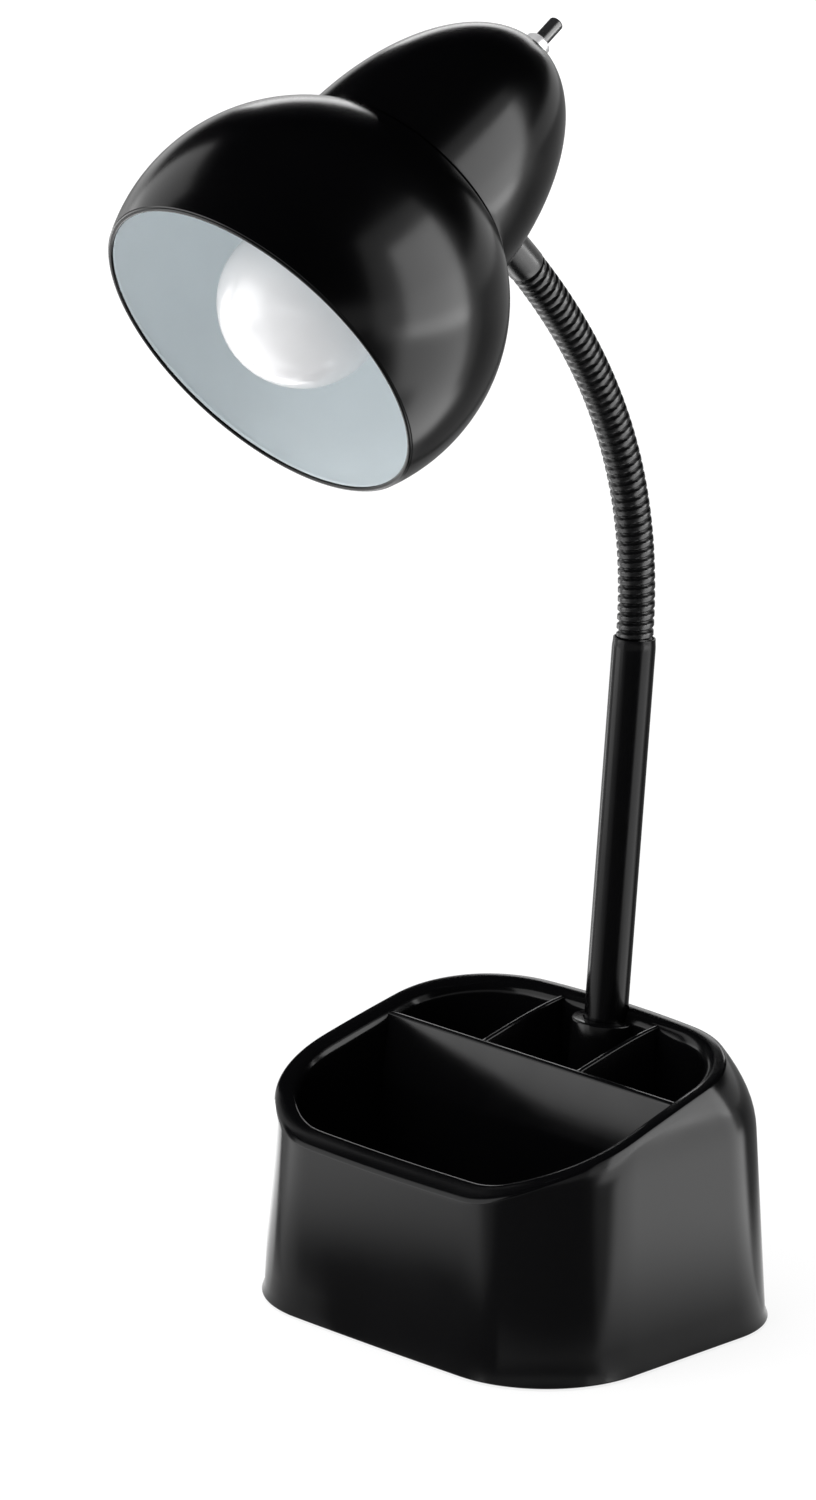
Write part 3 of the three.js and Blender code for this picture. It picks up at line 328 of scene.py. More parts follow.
finishLooks = {
    "housingBlack": {"colour": (0.002, 0.002, 0.0023), "roughness": (0.13, 0.19), "patchScale": 12,
        "smearScale": 35, "grainScale": 260, "grainHeight": 1.2e-6, "specular": 0.13},
    "coverBlack": {"colour": (0.02, 0.02, 0.021), "roughness": (0.42, 0.55), "grainScale": 2200,
        "grainHeight": 2e-5},
    "padRubber": {"colour": (0.028, 0.028, 0.029), "roughness": (0.75, 0.92), "grainScale": 2600,
        "grainHeight": 6e-5, "grainStrength": 0.8},
    "ballastIron": {"colour": (0.13, 0.13, 0.135), "roughness": (0.55, 0.8), "metallic": 0.7,
        "grainScale": 700, "grainHeight": 1.5e-4, "grainStrength": 0.9, "shade": 0.55},
    "zincSteel": {"colour": (0.66, 0.67, 0.66), "roughness": (0.25, 0.42), "metallic": 1.0,
        "patchScale": 300, "shade": 0.86},
    "rawSteel": {"colour": (0.42, 0.43, 0.44), "roughness": (0.3, 0.5), "metallic": 1.0,
        "stretch": (1, 1, 12), "shade": 0.75},
    "boardGreen": {"colour": (0.012, 0.11, 0.05), "roughness": (0.25, 0.45), "patchScale": 420,
        "shade": 0.6, "grainScale": 900, "grainHeight": 3e-5},
    "paleMoulding": {"colour": (0.74, 0.74, 0.71), "roughness": (0.38, 0.52), "shade": 0.93},
    "phenolicBlack": {"colour": (0.017, 0.015, 0.014), "roughness": (0.32, 0.5), "shade": 0.7},
    "portMetal": {"colour": (0.72, 0.73, 0.74), "roughness": (0.16, 0.28), "metallic": 1.0,
        "stretch": (1, 8, 1), "shade": 0.9},
    "bushRubber": {"colour": (0.018, 0.018, 0.018), "roughness": (0.5, 0.68), "grainScale": 2200,
        "grainHeight": 2.5e-5},
    "tubeBlack": {"colour": (0.0015, 0.0015, 0.0018), "roughness": (0.15, 0.2), "smearScale": 120,
        "grainScale": 420, "grainHeight": 1.5e-6, "specular": 0.09},
    "leadJacket": {"colour": (0.015, 0.015, 0.015), "roughness": (0.5, 0.65)},
    "shadeBlack": {"colour": (0.0009, 0.0009, 0.0011), "roughness": (0.17, 0.22), "patchScale": 20,
        "smearScale": 50, "grainScale": 340, "grainHeight": 1.6e-6, "specular": 0.15},
    "enamelWhite": {"colour": (0.8, 0.86, 0.885), "roughness": (0.32, 0.4), "shade": 0.95,
        "patchScale": 25, "grainScale": 420, "grainHeight": 4e-6, "coat": 0.15},
    "brassContacts": {"colour": (0.73, 0.55, 0.24), "roughness": (0.22, 0.4), "metallic": 1.0, "shade": 0.8},
    "bulbOpal": {"colour": (0.76, 0.76, 0.77), "roughness": (0.3, 0.38), "shade": 0.97, "patchScale": 18,
        "grainScale": 1800, "grainHeight": 3e-6, "coat": 0.5, "coatRoughness": 0.06, "depth": 0.2},
    "capMetal": {"colour": (0.74, 0.74, 0.75), "roughness": (0.2, 0.36), "metallic": 1.0, "shade": 0.85},
    "switchBright": {"colour": (0.8, 0.8, 0.81), "roughness": (0.26, 0.36), "metallic": 0.6, "shade": 0.92},
    "knobBlack": {"colour": (0.014, 0.014, 0.015), "roughness": (0.22, 0.32), "grainScale": 900,
        "grainHeight": 4e-6},
    "shaftSteel": {"colour": (0.5, 0.5, 0.51), "roughness": (0.25, 0.4), "metallic": 1.0,
        "stretch": (1, 1, 10), "shade": 0.85},
    "neckBlack": {"groove": (0.0015, 0.0015, 0.0018), "crest": (0.003, 0.003, 0.0034),
        "roughness": (0.4, 0.22), "specular": 0.3, "wearScale": 220, "grainScale": 1600, "grainHeight": 8e-6},
}
finishes = {name: makeFinish(name, look) for name, look in finishLooks.items()}


# A slot's finish goes by the slot's name: housing_black is housingBlack. The cup wears the shade's
def finishFor(slotName):
    first, *rest = slotName.replace("cup", "shade").split("_")
    return finishes[first + "".join(word.title() for word in rest)]


for row in frame["record"]["subparts"]:
    for place in frame["nodes"][row["node"]].material_slots:
        place.material = finishFor(row["material_slot"])
print("materials done")


# The base's plan, which leans in as it rises and closes in over the shoulder

base = {
    "width": 0.17, "depth": 0.135, "lean": 0.039, "frontRadius": 0.044, "rearRadius": 0.034,
    "frontCrown": 0.0004, "rearCrown": 0.002, "frontRim": 0.0655, "rearRim": 0.102,
    "shoulderHeight": 0.0727, "shoulderInset": 0.0052, "shoulderRounding": 0.01,
    "footFlare": 0.0009, "flareHeight": 0.004, "foot": 0.0008, "footRounding": 0.0006,
    "rimWidth": 0.008, "rimInnerRadius": 0.005, "rimOuterRadius": 0.0012, "rimBand": 0.0144,
    "skin": 0.0025, "wellWall": 0.0022, "wellDraft": 0.0015, "wellLip": 0.0003, "trayFloor": 0.03,
    "floorRadius": 0.004, "rimHollow": 0.009, "wallRows": 6, "bandRows": 14, "cornerSteps": 26,
    "crownSteps": 12, "sideSteps": 28, "rimSamples": 24, "settleSteps": 6, "sharpAngle": math.radians(28),
    "rimRise": [(0, -0.06), (0.017, 0), (0.07, 0.178), (0.159, 0.356), (0.352, 0.575), (0.648, 0.836),
                (0.833, 0.964), (0.981, 1), (1, 1)],
}


def sampleRim():
    knots = [Vector(((place - 0.5) * base["depth"], between(base["frontRim"], base["rearRim"], rise)))
             for place, rise in base["rimRise"]]
    points = []
    for index in range(len(knots) - 1):
        before, low = knots[max(index - 1, 0)], knots[index]
        high, after = knots[index + 1], knots[min(index + 2, len(knots) - 1)]
        points += interpolate_bezier(low, low + (high - before) / 6, high - (after - low) / 6, high,
                                     base["rimSamples"])[:-1]
    return points + [knots[-1]]


rimLine = sampleRim()
rimPlaces = [point.x for point in rimLine]


def rimHeight(place):
    after = bisect_right(rimPlaces, place)
    if after == 0:
        return rimLine[0].y
    if after == len(rimLine):
        return rimLine[-1].y
    low, high = rimLine[after - 1], rimLine[after]
    return between(low.y, high.y, (place - low.x) / (high.x - low.x))


def underRim(drop):
    return lambda place: rimHeight(place) - drop


def flareAt(height):
    return base["footFlare"] * clamped(1 - height / base["flareHeight"])


def shrinkAt(height, inset=0):
    closing = clamped((height - base["shoulderHeight"]) / (base["rearRim"] - base["shoulderHeight"])) ** 2
    shrink = base["lean"] * max(height, 0) + base["shoulderInset"] * closing - flareAt(height) + inset
    return shrink, closing


# One quarter of the plan, counted from the middle of an end: a shallow crown that runs into the corner's arc
def quarterPoint(step, side, far, crown, radius):
    slope = math.atan2(2 * crown, side - radius)
    if step < base["crownSteps"]:
        share = step / base["crownSteps"]
        return share * (side - radius + radius * math.sin(slope)), far - crown * share ** 2
    turn = (quarterTurn - slope) * (1 - (step - base["crownSteps"]) / base["cornerSteps"])
    arcPlace = crown + radius * math.cos(slope)
    return side - radius + radius * math.cos(turn), far - arcPlace + radius * math.sin(turn)


quarterSteps = base["crownSteps"] + base["cornerSteps"]
halfSteps = 2 * (quarterSteps + 1) + base["sideSteps"] - 1


def planPoint(step, height, inset):
    shrink, closing = shrinkAt(height, inset)
    side, far = base["width"] / 2 - shrink, base["depth"] / 2 - shrink
    rounding = base["shoulderRounding"] * closing - inset
    front = (side, far, base["frontCrown"], base["frontRadius"] + rounding)
    rear = (side, far, base["rearCrown"], base["rearRadius"] + rounding)
    if step <= quarterSteps:
        across, along = quarterPoint(step, *front)
        return across, -along
    rearStep = halfSteps - 1 - step
    if rearStep <= quarterSteps:
        return quarterPoint(rearStep, *rear)
    low, high = -quarterPoint(quarterSteps, *front)[1], quarterPoint(quarterSteps, *rear)[1]
    return side, between(low, high, (step - quarterSteps) / base["sideSteps"])


# A ring of the plan, inset from the wall, at the height that heightAt gives for each place along the depth.
# Inner walls take the plan at the rim's height, so that they follow the rim's line.
def planRing(inset, heightAt, alongRim=False):
    planHeight = rimHeight if alongRim else heightAt
    half = []
    for step in range(halfSteps):
        across, along = planPoint(step, base["shoulderHeight"], inset)
        for _ in range(base["settleSteps"]):
            across, along = planPoint(step, planHeight(along), inset)
        half.append(Vector((across, along, heightAt(along))))
    return half + [Vector((-point.x, point.y, point.z)) for point in reversed(half[1:-1])]


# From the well's underside out and up the wall, over the rim and down to the tray's floor
def makeShellRings():
    skin, wall, rimWidth, hollow = base["skin"], base["wellWall"], base["rimWidth"], base["rimHollow"]
    outer, inner = base["rimOuterRadius"], base["rimInnerRadius"]
    floor, corner = base["trayFloor"], base["floorRadius"]
    wellInset = rimWidth + base["wellDraft"]
    straightTop = base["frontRim"] - base["rimBand"]
    rings = [
        planRing(wellInset - wall, always(floor - wall), True),
        planRing(rimWidth - wall + base["wellLip"], underRim(hollow), True),
        planRing(skin, underRim(hollow)),
        planRing(skin, always(base["frontRim"] - 2 * hollow)),
        planRing(skin, always(base["flareHeight"])),
        planRing(skin + flareAt(base["foot"]), always(base["foot"])),
    ]
    for inset, rise in edgeSteps(4):
        rings.append(planRing(base["footRounding"] * inset, always(base["foot"] + base["footRounding"] * rise)))
    for height in spread(base["flareHeight"], straightTop, base["wallRows"]):
        rings.append(planRing(0, always(height)))
    for share in spread(0, 1, base["bandRows"])[1:]:
        rings.append(planRing(0, lambda place: between(straightTop, rimHeight(place) - outer, share)))
    for drop, inset in edgeSteps(6)[1:]:
        rings.append(planRing(outer * inset, underRim(outer * drop)))
    for inset, drop in edgeSteps(10):
        rings.append(planRing(rimWidth - inner * inset, underRim(inner * drop), True))
    for share in (0.25, 0.5, 0.75):
        rings.append(planRing(between(rimWidth, wellInset, share), lambda place: between(
            rimHeight(place) - inner, floor + corner, share), True))
    for inset, rise in edgeSteps(7, quarterTurn, 0):
        rings.append(planRing(wellInset + corner * inset, always(floor + corner * rise), True))
    return rings


tube = {"radius": 0.00794, "wall": 0.0009, "foot": -0.0217, "top": 0.1419, "mouth": 0.004,
        "mouthShrink": 0.00025, "mouthShare": 0.9, "lip": 0.0003, "sides": 80}
furniture = {
    "dividerPlace": 0.01, "dividerThickness": 0.003, "dividerLip": 0.0012, "drop": 0.0015, "sink": 0.001,
    "halfWidth": 0.0752, "faceLean": math.radians(10), "leanDepth": 0.0235, "leanEase": 0.004,
    "partitionPlace": 0.024, "partitionThickness": 0.0024, "partitionLip": 0.0007, "partitionEnd": 0.0578,
    "bossRadius": 0.0125, "bossEdge": 0.0008, "bossDrop": 0.0045, "footSetback": 0.0185,
    "lean": math.radians(5.5), "wallCover": 0.001, "socketDepth": 0.022, "webThickness": 0.004,
    "nippleBore": 0.0049, "inletBore": 0.0058, "windowEdge": 0.0004, "wallCut": 0.01, "overcut": 0.002,
    "fit": 0.0003, "sides": 72,
}
neckFoot = Vector((0, base["depth"] / 2 - furniture["footSetback"], base["rearRim"] - furniture["bossDrop"]))
alongTube = Vector((0, math.sin(furniture["lean"]), math.cos(furniture["lean"])))
tubePlace = Matrix.Translation(neckFoot) @ Matrix.Rotation(-furniture["lean"], 4, "X")
wallFoot = base["trayFloor"] - furniture["sink"]


# The divider's top is level, and its front face leans back near the top
def makeDivider():
    place, half, lip = furniture["dividerPlace"], furniture["dividerThickness"] / 2, furniture["dividerLip"]
    leanEnd, ease = furniture["leanDepth"], furniture["leanEase"]
    top = rimHeight(place) - furniture["drop"]
    outline = arc((half - lip, top - lip), lip, 0, 90, 4) + arc((lip - half, top - lip), lip, 90, 180, 4)
    for depth in spread(lip, leanEnd, 2)[1:] + spread(leanEnd, leanEnd + ease, 8)[1:] + [top - wallFoot]:
        past = clamped(depth - leanEnd, 0, ease)
        step = math.tan(furniture["faceLean"]) * (min(depth, leanEnd) - lip + past - past ** 2 / (2 * ease))
        outline.append((-half - step, top - depth))
    outline.append((half, wallFoot))
    return skinned([[Vector((across, place + along, height)) for along, height in outline]
                    for across in spread(-furniture["halfWidth"], furniture["halfWidth"], 4)])


def makePartition(side):
    half, lip = furniture["partitionThickness"] / 2, furniture["partitionLip"]
    rings = []
    for place in spread(furniture["dividerPlace"], furniture["partitionEnd"], 24):
        top = rimHeight(place) - furniture["drop"]
        flank = [(half, wallFoot), (half, top - lip), (half - lip * 0.3, top - lip * 0.3), (half - lip, top)]
        outline = [(-across, height) for across, height in flank] + flank[::-1]
        rings.append([Vector((side * furniture["partitionPlace"] + across, place, height))
                      for across, height in outline])
    return skinned(rings)


# The neck's boss leans with the tube, and is trimmed where it meets the rear wall
def makeBoss():
    radius, edge = furniture["bossRadius"], furniture["bossEdge"]
    bottom = wallFoot - neckFoot.z
    profile = [(0, bottom)] + [(radius, height) for height in spread(bottom, -edge, 14)]
    profile += arc((radius - edge, -edge), edge, 0, 90, 4)[1:] + [(0, 0)]
    bm = placed(spun(profile, furniture["sides"], closed=False), tubePlace)
    for corner in bm.verts:
        rearFace = base["depth"] / 2 - shrinkAt(corner.co.z)[0] - furniture["wallCover"]
        corner.co.y = min(corner.co.y, rearFace)
    return bm


screws = {
    "places": [(-0.05015, -0.0394875), (0.05015, -0.0394875), (0.06596, 0.02403), (-0.06596, 0.02403)],
    "postRadius": 0.0042, "shankRadius": 0.0018, "headRadius": 0.0033, "headDepth": 0.0019,
    "postFoot": 0.0051, "postTop": 0.0295, "boreTop": 0.0168, "sides": 32,
}


def atScrews(radius, bottom, top):
    return joined([placed(rod(radius, bottom, top, screws["sides"]), Matrix.Translation((across, along, 0)))
                   for across, along in screws["places"]])


def makeHousing():
    piece = newObject("base_shell", skinned(makeShellRings()))
    for part in (makeDivider(), joined([makePartition(-1), makePartition(1)]), makeBoss(),
                 atScrews(screws["postRadius"], screws["postFoot"], screws["postTop"])):
        combine(piece, part, "UNION")
    fit, overcut, wallCut = furniture["fit"], furniture["overcut"], furniture["wallCut"]
    webTop = -furniture["socketDepth"]
    webBottom = webTop - furniture["webThickness"]
    for radius, bottom, top in ((tube["radius"] + fit, webTop, 4 * overcut),
                                (furniture["nippleBore"] + fit, webBottom - 2 * overcut, webTop + overcut),
                                (furniture["bossRadius"] - base["wellWall"], -neckFoot.z, webBottom)):
        combine(piece, placed(rod(radius, bottom, top, furniture["sides"]), tubePlace), "DIFFERENCE")
    combine(piece, atScrews(screws["shankRadius"], -2 * overcut, screws["boreTop"]), "DIFFERENCE")
    low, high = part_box("port_shell")
    gap = Vector((fit, 0, fit))
    low, high = low - gap, high + gap + Vector((0, wallCut, 0))
    window = block(high - low, (low + high) / 2, furniture["windowEdge"], 2)
    low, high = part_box("mains_inlet_bush")
    hole = placed(rod(furniture["inletBore"], -2 * wallCut, wallCut, 48),
                  Matrix.Translation((low + high) / 2) @ toRear)
    combine(piece, joined([window, hole]), "DIFFERENCE")
    finish(piece, "housing_black", ["base_housing"], "base", base["sharpAngle"])


makeHousing()

under = {"coverBottom": 0.0018, "coverTop": 0.0048, "coverInset": 0.0028, "coverEdge": 0.0004,
         "padTop": 0.0015, "padInset": 0.005, "padEdge": 0.0004, "postRadius": 0.0026,
         "postsAcross": (0.098, 0.902), "postsAlong": (0.132, 0.868), "overlap": 0.001, "boreTop": 0.009}


def plate(bottom, top, inset, edge):
    rings = [planRing(inset + edge * step, always(bottom + edge * rise)) for step, rise in edgeSteps(3)]
    rings += [planRing(inset + edge * step, always(top - edge * rise))
              for step, rise in edgeSteps(3, quarterTurn, 0)]
    return skinned(rings)


def makeUnderside():
    overlap = under["overlap"]
    cover = newObject("floor_plate", plate(under["coverBottom"], under["coverTop"], under["coverInset"],
                                           under["coverEdge"]))
    boardLow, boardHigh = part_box("charging_board")
    posts = [placed(rod(under["postRadius"], under["coverTop"] - overlap, boardLow.z - furniture["fit"], 24),
                    Matrix.Translation((between(boardLow.x, boardHigh.x, across),
                                        between(boardLow.y, boardHigh.y, along), 0)))
             for across in under["postsAcross"] for along in under["postsAlong"]]
    combine(cover, joined(posts), "UNION")
    combine(cover, atScrews(screws["shankRadius"], -overlap, under["boreTop"]), "DIFFERENCE")
    headTop = under["coverBottom"] + screws["headDepth"]
    combine(cover, atScrews(screws["headRadius"], -overlap, headTop), "DIFFERENCE")
    finish(cover, "cover_black", ["bottom_cover"], "base")
    newPiece("rubber_pad", plate(0, under["padTop"], under["padInset"], under["padEdge"]), "pad_rubber",
             ["base_pad"], "base")


makeUnderside()
print("base done")


# Port and inlet on the rear wall

port = {"wall": 0.0004, "cornerRadius": 0.0009, "depth": 0.0132, "bladeEdge": 0.0002, "contacts": 4,
        "contactWidth": 0.001, "contactLength": 0.0065, "contactHeight": 0.00012, "contactSetback": 0.0008,
        "contactEdge": 2e-5}


def roundedLoop(low, high, radius, place, steps=5):
    corners = [(high.x - radius, high.z - radius, 0), (low.x + radius, high.z - radius, 1),
               (low.x + radius, low.z + radius, 2), (high.x - radius, low.z + radius, 3)]
    return [Vector((across + radius * math.cos(turn), place, height + radius * math.sin(turn)))
            for across, height, quarter in corners
            for turn in spread(quarter * quarterTurn, (quarter + 1) * quarterTurn, steps)]


def makePort():
    low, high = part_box("port_shell")
    wall, radius = port["wall"], port["cornerRadius"]
    edge = wall / 4
    inner, step = Vector((wall, 0, wall)), Vector((edge, 0, edge))
    rings = [roundedLoop(low, high, radius, low.y), roundedLoop(low, high, radius, high.y - edge),
             roundedLoop(low + step, high - step, radius - edge, high.y),
             roundedLoop(low + inner - step, high - inner + step, radius - wall + edge, high.y),
             roundedLoop(low + inner, high - inner, radius - wall, high.y - edge),
             roundedLoop(low + inner, high - inner, radius - wall, high.y - port["depth"])]
    newPiece("port_frame", skinned(rings), "port_metal", ["port_shell"], "base")
    low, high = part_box("port_tongue")
    newPiece("port_blade", block(high - low, (low + high) / 2, port["bladeEdge"], 2), "pale_moulding",
             ["port_tongue"], "base")
    size = (port["contactWidth"], port["contactLength"], port["contactHeight"])
    contacts = []
    for index in range(port["contacts"]):
        centre = (between(low.x, high.x, (index + 0.5) / port["contacts"]),
                  high.y - port["contactSetback"] - size[1] / 2, low.z - size[2] / 2)
        contacts.append(block(size, centre, port["contactEdge"], 1))
    newPiece("port_contacts", joined(contacts), "brass_contacts", [], "base")


makePort()

inlet = {"bore": 0.0034, "radius": 0.0055, "flangeRadius": 0.0075, "flange": 0.0016, "depth": 0.009,
         "edge": 0.0005}


def makeInlet():
    low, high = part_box("mains_inlet_bush")
    edge, flange = inlet["edge"], inlet["flange"]
    profile = [(inlet["bore"], -inlet["depth"]), (inlet["radius"] - edge, -inlet["depth"])]
    profile += [(inlet["radius"], edge - inlet["depth"]), (inlet["radius"], 0), (inlet["flangeRadius"], 0)]
    profile += arc((inlet["flangeRadius"] - 2 * edge, flange - 2 * edge), 2 * edge, 0, 90, 5)
    profile += arc((inlet["bore"] + edge, flange - edge), edge, 90, 180, 4)
    place = Matrix.Translation(((low.x + high.x) / 2, high.y - flange, (low.z + high.z) / 2))
    newPiece("inlet_bush", placed(spun(profile, 64), place @ toRear), "bush_rubber", ["mains_inlet_bush"],
             "base")


makeInlet()
print("rear fittings done")


# The leaning tube, with a turned-in mouth

def makeTube():
    radius, inner, lip, top = tube["radius"], tube["radius"] - tube["wall"], tube["lip"], tube["top"]
    mouthRadius = radius - tube["mouthShrink"]
    profile = [(inner, tube["foot"]), (radius, tube["foot"])]
    profile += [(radius, height) for height in spread(0, top - tube["mouth"], 6)]
    for share in spread(0, 1, 5)[1:]:
        height = top - tube["mouth"] * (1 - share * tube["mouthShare"])
        profile.append((between(radius, mouthRadius, smoothRise(0, 1, share)), height))
    profile += arc((mouthRadius - lip, top - lip), lip, 0, 90, 4)
    profile += arc((inner + lip, top - lip), lip, 90, 180, 4)
    newPiece("leaning_tube", placed(spun(profile, tube["sides"]), tubePlace), "tube_black", ["neck_tube"],
             "base")


makeTube()


# The head's own frame: +Z runs from the mouth to the switch

head = {
    "centre": Vector((0, -0.1013, 0.3929)), "tilt": math.radians(32.5), "radius": 0.0705, "wall": 0.001,
    "mouth": -0.0265, "seam": 0.0543, "hem": 0.0017, "hemDepth": 0.002, "spigot": 0.003,
    "spigotBend": 0.0004, "seamStep": 0.00039, "lining": 0.00025, "liningGap": 0.00006, "seamEdge": 0.0012,
    "cupLength": 0.0832, "cupSetback": 0.0062, "cupTipRadius": 0.0062, "cupFit": 0.0003, "cupEdge": 0.0004,
    "entrySetback": 0.0481, "entryDepth": 0.004, "switchHole": 0.0039, "paint": 0.00012, "sides": 160,
}
headPlace = Matrix.Translation(head["centre"]) @ Matrix.Rotation(head["tilt"] - quarterTurn, 4, "X")
headTurn = headPlace.to_3x3()


def turnedOnHead(profile, sides, closed=True):
    return placed(spun(profile, sides, closed), headPlace)


def circleHeight(radius, width):
    return math.sqrt(radius ** 2 - width ** 2)


cupCentre = head["seam"] - head["cupSetback"]
cupRadius = (circleHeight(head["radius"], head["seam"]) - head["seamStep"]) / circleHeight(
    1, head["cupSetback"] / head["cupLength"])
cupTip = cupCentre + head["cupLength"] * circleHeight(1, head["cupTipRadius"] / cupRadius)
entryPlace = cupTip - head["entrySetback"]
entryRadius = cupRadius * circleHeight(1, (entryPlace - cupCentre) / head["cupLength"])
entrySlope = math.atan2((entryPlace - cupCentre) / head["cupLength"] ** 2, entryRadius / cupRadius ** 2)


# The gooseneck's centre line, from the tube's mouth to the cup, square to the cup's wall

neck = {"handle": 0.067, "ribs": 47, "perSegment": 6, "crestRadius": 0.00675, "grooveRadius": 0.0058,
        "bore": 0.0033, "cuffLength": 0.024, "cuffRadius": 0.0069, "cuffBore": 0.0052, "cuffEdge": 0.0005,
        "cuffGap": 0.0003, "cuffTrim": 0.003, "cuffSeat": 0.0001, "cuffSides": 64, "cuffCrest": 0.8,
        "tailRadius": 0.0064, "tail": 0.01, "tailFade": (-0.0012, 0.0006), "plugRadius": 0.0052,
        "plug": 0.006, "plugFade": (-0.0002, 0.0004), "sides": 36, "ringsPerRib": 10, "crestShare": 0.42,
        "bendReach": 1.6, "lineSamples": 800}
neckStart = neckFoot + alongTube * tube["top"]
neckEnd = headPlace @ Vector((0, entryRadius, entryPlace))
arrival = -(headTurn @ Vector((0, math.cos(entrySlope), math.sin(entrySlope))))
handles = [neckStart, neckStart + alongTube * neck["handle"], neckEnd - arrival * neck["handle"], neckEnd]
neckSamples = interpolate_bezier(*handles, neck["lineSamples"])
neckLengths = [0]
for low, high in zip(neckSamples, neckSamples[1:]):
    neckLengths.append(neckLengths[-1] + (high - low).length)
neckLength = neckLengths[-1]
ribPitch = (neckLength - neck["cuffLength"]) / neck["ribs"]
ribEnd = neck["ribs"] * ribPitch


# Centre and the two cross directions at a distance along the neck, straight on past both ends
def neckFrame(distance):
    along = clamped(distance, 0, neckLength)
    index = clamped(bisect_right(neckLengths, along) - 1, 0, len(neckSamples) - 2)
    low, high = neckLengths[index], neckLengths[index + 1]
    share = (index + (along - low) / (high - low)) / (len(neckSamples) - 1)
    rest = 1 - share
    tangent = ((handles[1] - handles[0]) * rest ** 2 + (handles[2] - handles[1]) * (2 * rest * share)
               + (handles[3] - handles[2]) * share ** 2).normalized()
    centre = neckSamples[index].lerp(neckSamples[index + 1], (along - low) / (high - low))
    across = Vector((1, 0, 0))
    return centre + tangent * (distance - along), across, tangent.cross(across)


def neckRing(distance, radiusAt, sides=neck["sides"]):
    centre, across, normal = neckFrame(distance)
    ring = []
    for turn in spread(0, fullTurn, sides)[:-1]:
        radius = radiusAt(turn)
        ring.append(centre + across * (radius * math.cos(turn)) + normal * (radius * math.sin(turn)))
    return ring


# How far up its crest the winding stands at a distance and a turn, from 0 to 1
def windingRise(distance, turn):
    phase = (distance / ribPitch - turn / fullTurn) % 1
    return 1 - smoothRise(neck["crestShare"], 1, abs(phase - 0.5) * 2)


def neckRadius(distance, turn):
    wound = between(neck["grooveRadius"], neck["crestRadius"], windingRise(distance, turn))
    footShare = smoothRise(*neck["tailFade"], distance)
    tipShare = smoothRise(*(ribEnd + fade for fade in neck["plugFade"]), distance)
    return between(between(neck["tailRadius"], wound, footShare), neck["plugRadius"], tipShare)


# One sleeve spans each hinge, from the middle of one length of the neck to the middle of the next
def makeSleeve(index, nodes):
    span = neck["perSegment"] * ribPitch
    hinge = index * span
    start = -neck["tail"] if index == 1 else (index - 0.5) * span
    end = ribEnd + neck["plug"] if index == 7 else (index + 0.5) * span
    distances = spread(start, end, round((end - start) / ribPitch * neck["ringsPerRib"]))
    rings = [neckRing(distance, lambda turn: neckRadius(distance, turn)) for distance in distances]
    inside = distances[::5] if distances[-1] in distances[::5] else distances[::5] + [distances[-1]]
    rings += [neckRing(distance, always(neck["bore"])) for distance in reversed(inside)]
    turns = spread(0, fullTurn, neck["sides"])[:-1]
    crests = [[windingRise(distance, turn) for turn in turns] for distance in distances]
    crests += [[0.0] * len(turns)] * len(inside)
    piece = newObject(f"gooseneck_{index}", skinned(rings, tube=True, crests=crests))
    finish(piece, "neck_black", nodes)
    reach = neck["bendReach"] * ribPitch
    neckFrame(hinge - reach)[0]
    neckFrame(hinge + reach)[0]
    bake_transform(piece)


def makeGooseneck():
    for index in range(1, 8):
        nodes = [f"neck_segment_{index}"] + (["neck_segment_8"] if index == 7 else [])
        makeSleeve(index, nodes)


makeGooseneck()


# How far a point on the cuff runs along the arrival before it meets the cup
def cupReach(point):
    toHead = headPlace.inverted()
    start, run = toHead @ point, toHead.to_3x3() @ arrival
    start.z -= cupCentre
    scale = Vector((1 / cupRadius, 1 / cupRadius, 1 / head["cupLength"]))
    start, run = start * scale, run * scale
    half, gap = start.dot(run), start.dot(start) - 1
    return (-half - math.sqrt(max(half ** 2 - run.dot(run) * gap, 0))) / run.dot(run)


# The cuff's end is cut to the cup's curve
def makeCuff():
    start, last = ribEnd + neck["cuffGap"], neckLength - neck["cuffTrim"]
    radius, edge, bore, sides = neck["cuffRadius"], neck["cuffEdge"], neck["cuffBore"], neck["cuffSides"]
    rings = [neckRing(start, always(bore), sides)]
    for inset, rise in edgeSteps(4):
        rings.append(neckRing(start + edge * rise, always(radius - edge * inset), sides))
    rings += [neckRing(distance, always(radius), sides) for distance in spread(start + edge, last, 8)[1:]]
    for wall in (rings[-1], neckRing(last, always(bore), sides)):
        rings.append([point + arrival * (cupReach(point) - neck["cuffSeat"]) for point in wall])
    rings += [neckRing(distance, always(bore), sides) for distance in spread(last, start, 6)[:-1]]
    crests = [[neck["cuffCrest"]] * sides] * len(rings)
    finish(newObject("neck_collar", skinned(rings, tube=True, crests=crests)), "neck_black", ["neck_cuff"],
           "head")


makeCuff()
print("neck done")


# Shade, cup and what they hold

def sphereArc(radius, start, end, steps):
    return [(radius * math.cos(turn), radius * math.sin(turn))
            for turn in spread(math.asin(start / radius), math.asin(end / radius), steps)]


socket = {"radius": 0.0192, "setback": 0.0385, "length": 0.045, "back": 0.0111, "shoulder": 0.024,
          "shoulderThickness": 0.003, "taper": 0.008, "tail": 0.013, "ringRadius": 0.025, "ring": 0.005,
          "bore": 0.0142, "fit": 0.0003, "edge": 0.0004, "boreEdge": 0.0005, "lip": 0.0008,
          "ringEdge": 0.001}
webRear = head["seam"] + head["spigot"]
webFront = webRear - head["wall"]
socketRear = cupTip - socket["setback"]
socketFront = socketRear - socket["length"]


def cupWall(thickness, start, end, steps):
    long, wide = head["cupLength"] - thickness, cupRadius - thickness
    turns = [math.asin(min((height - cupCentre) / long, 1)) for height in (start, end)]
    return [(wide * math.cos(turn), cupCentre + long * math.sin(turn)) for turn in spread(*turns, steps)]


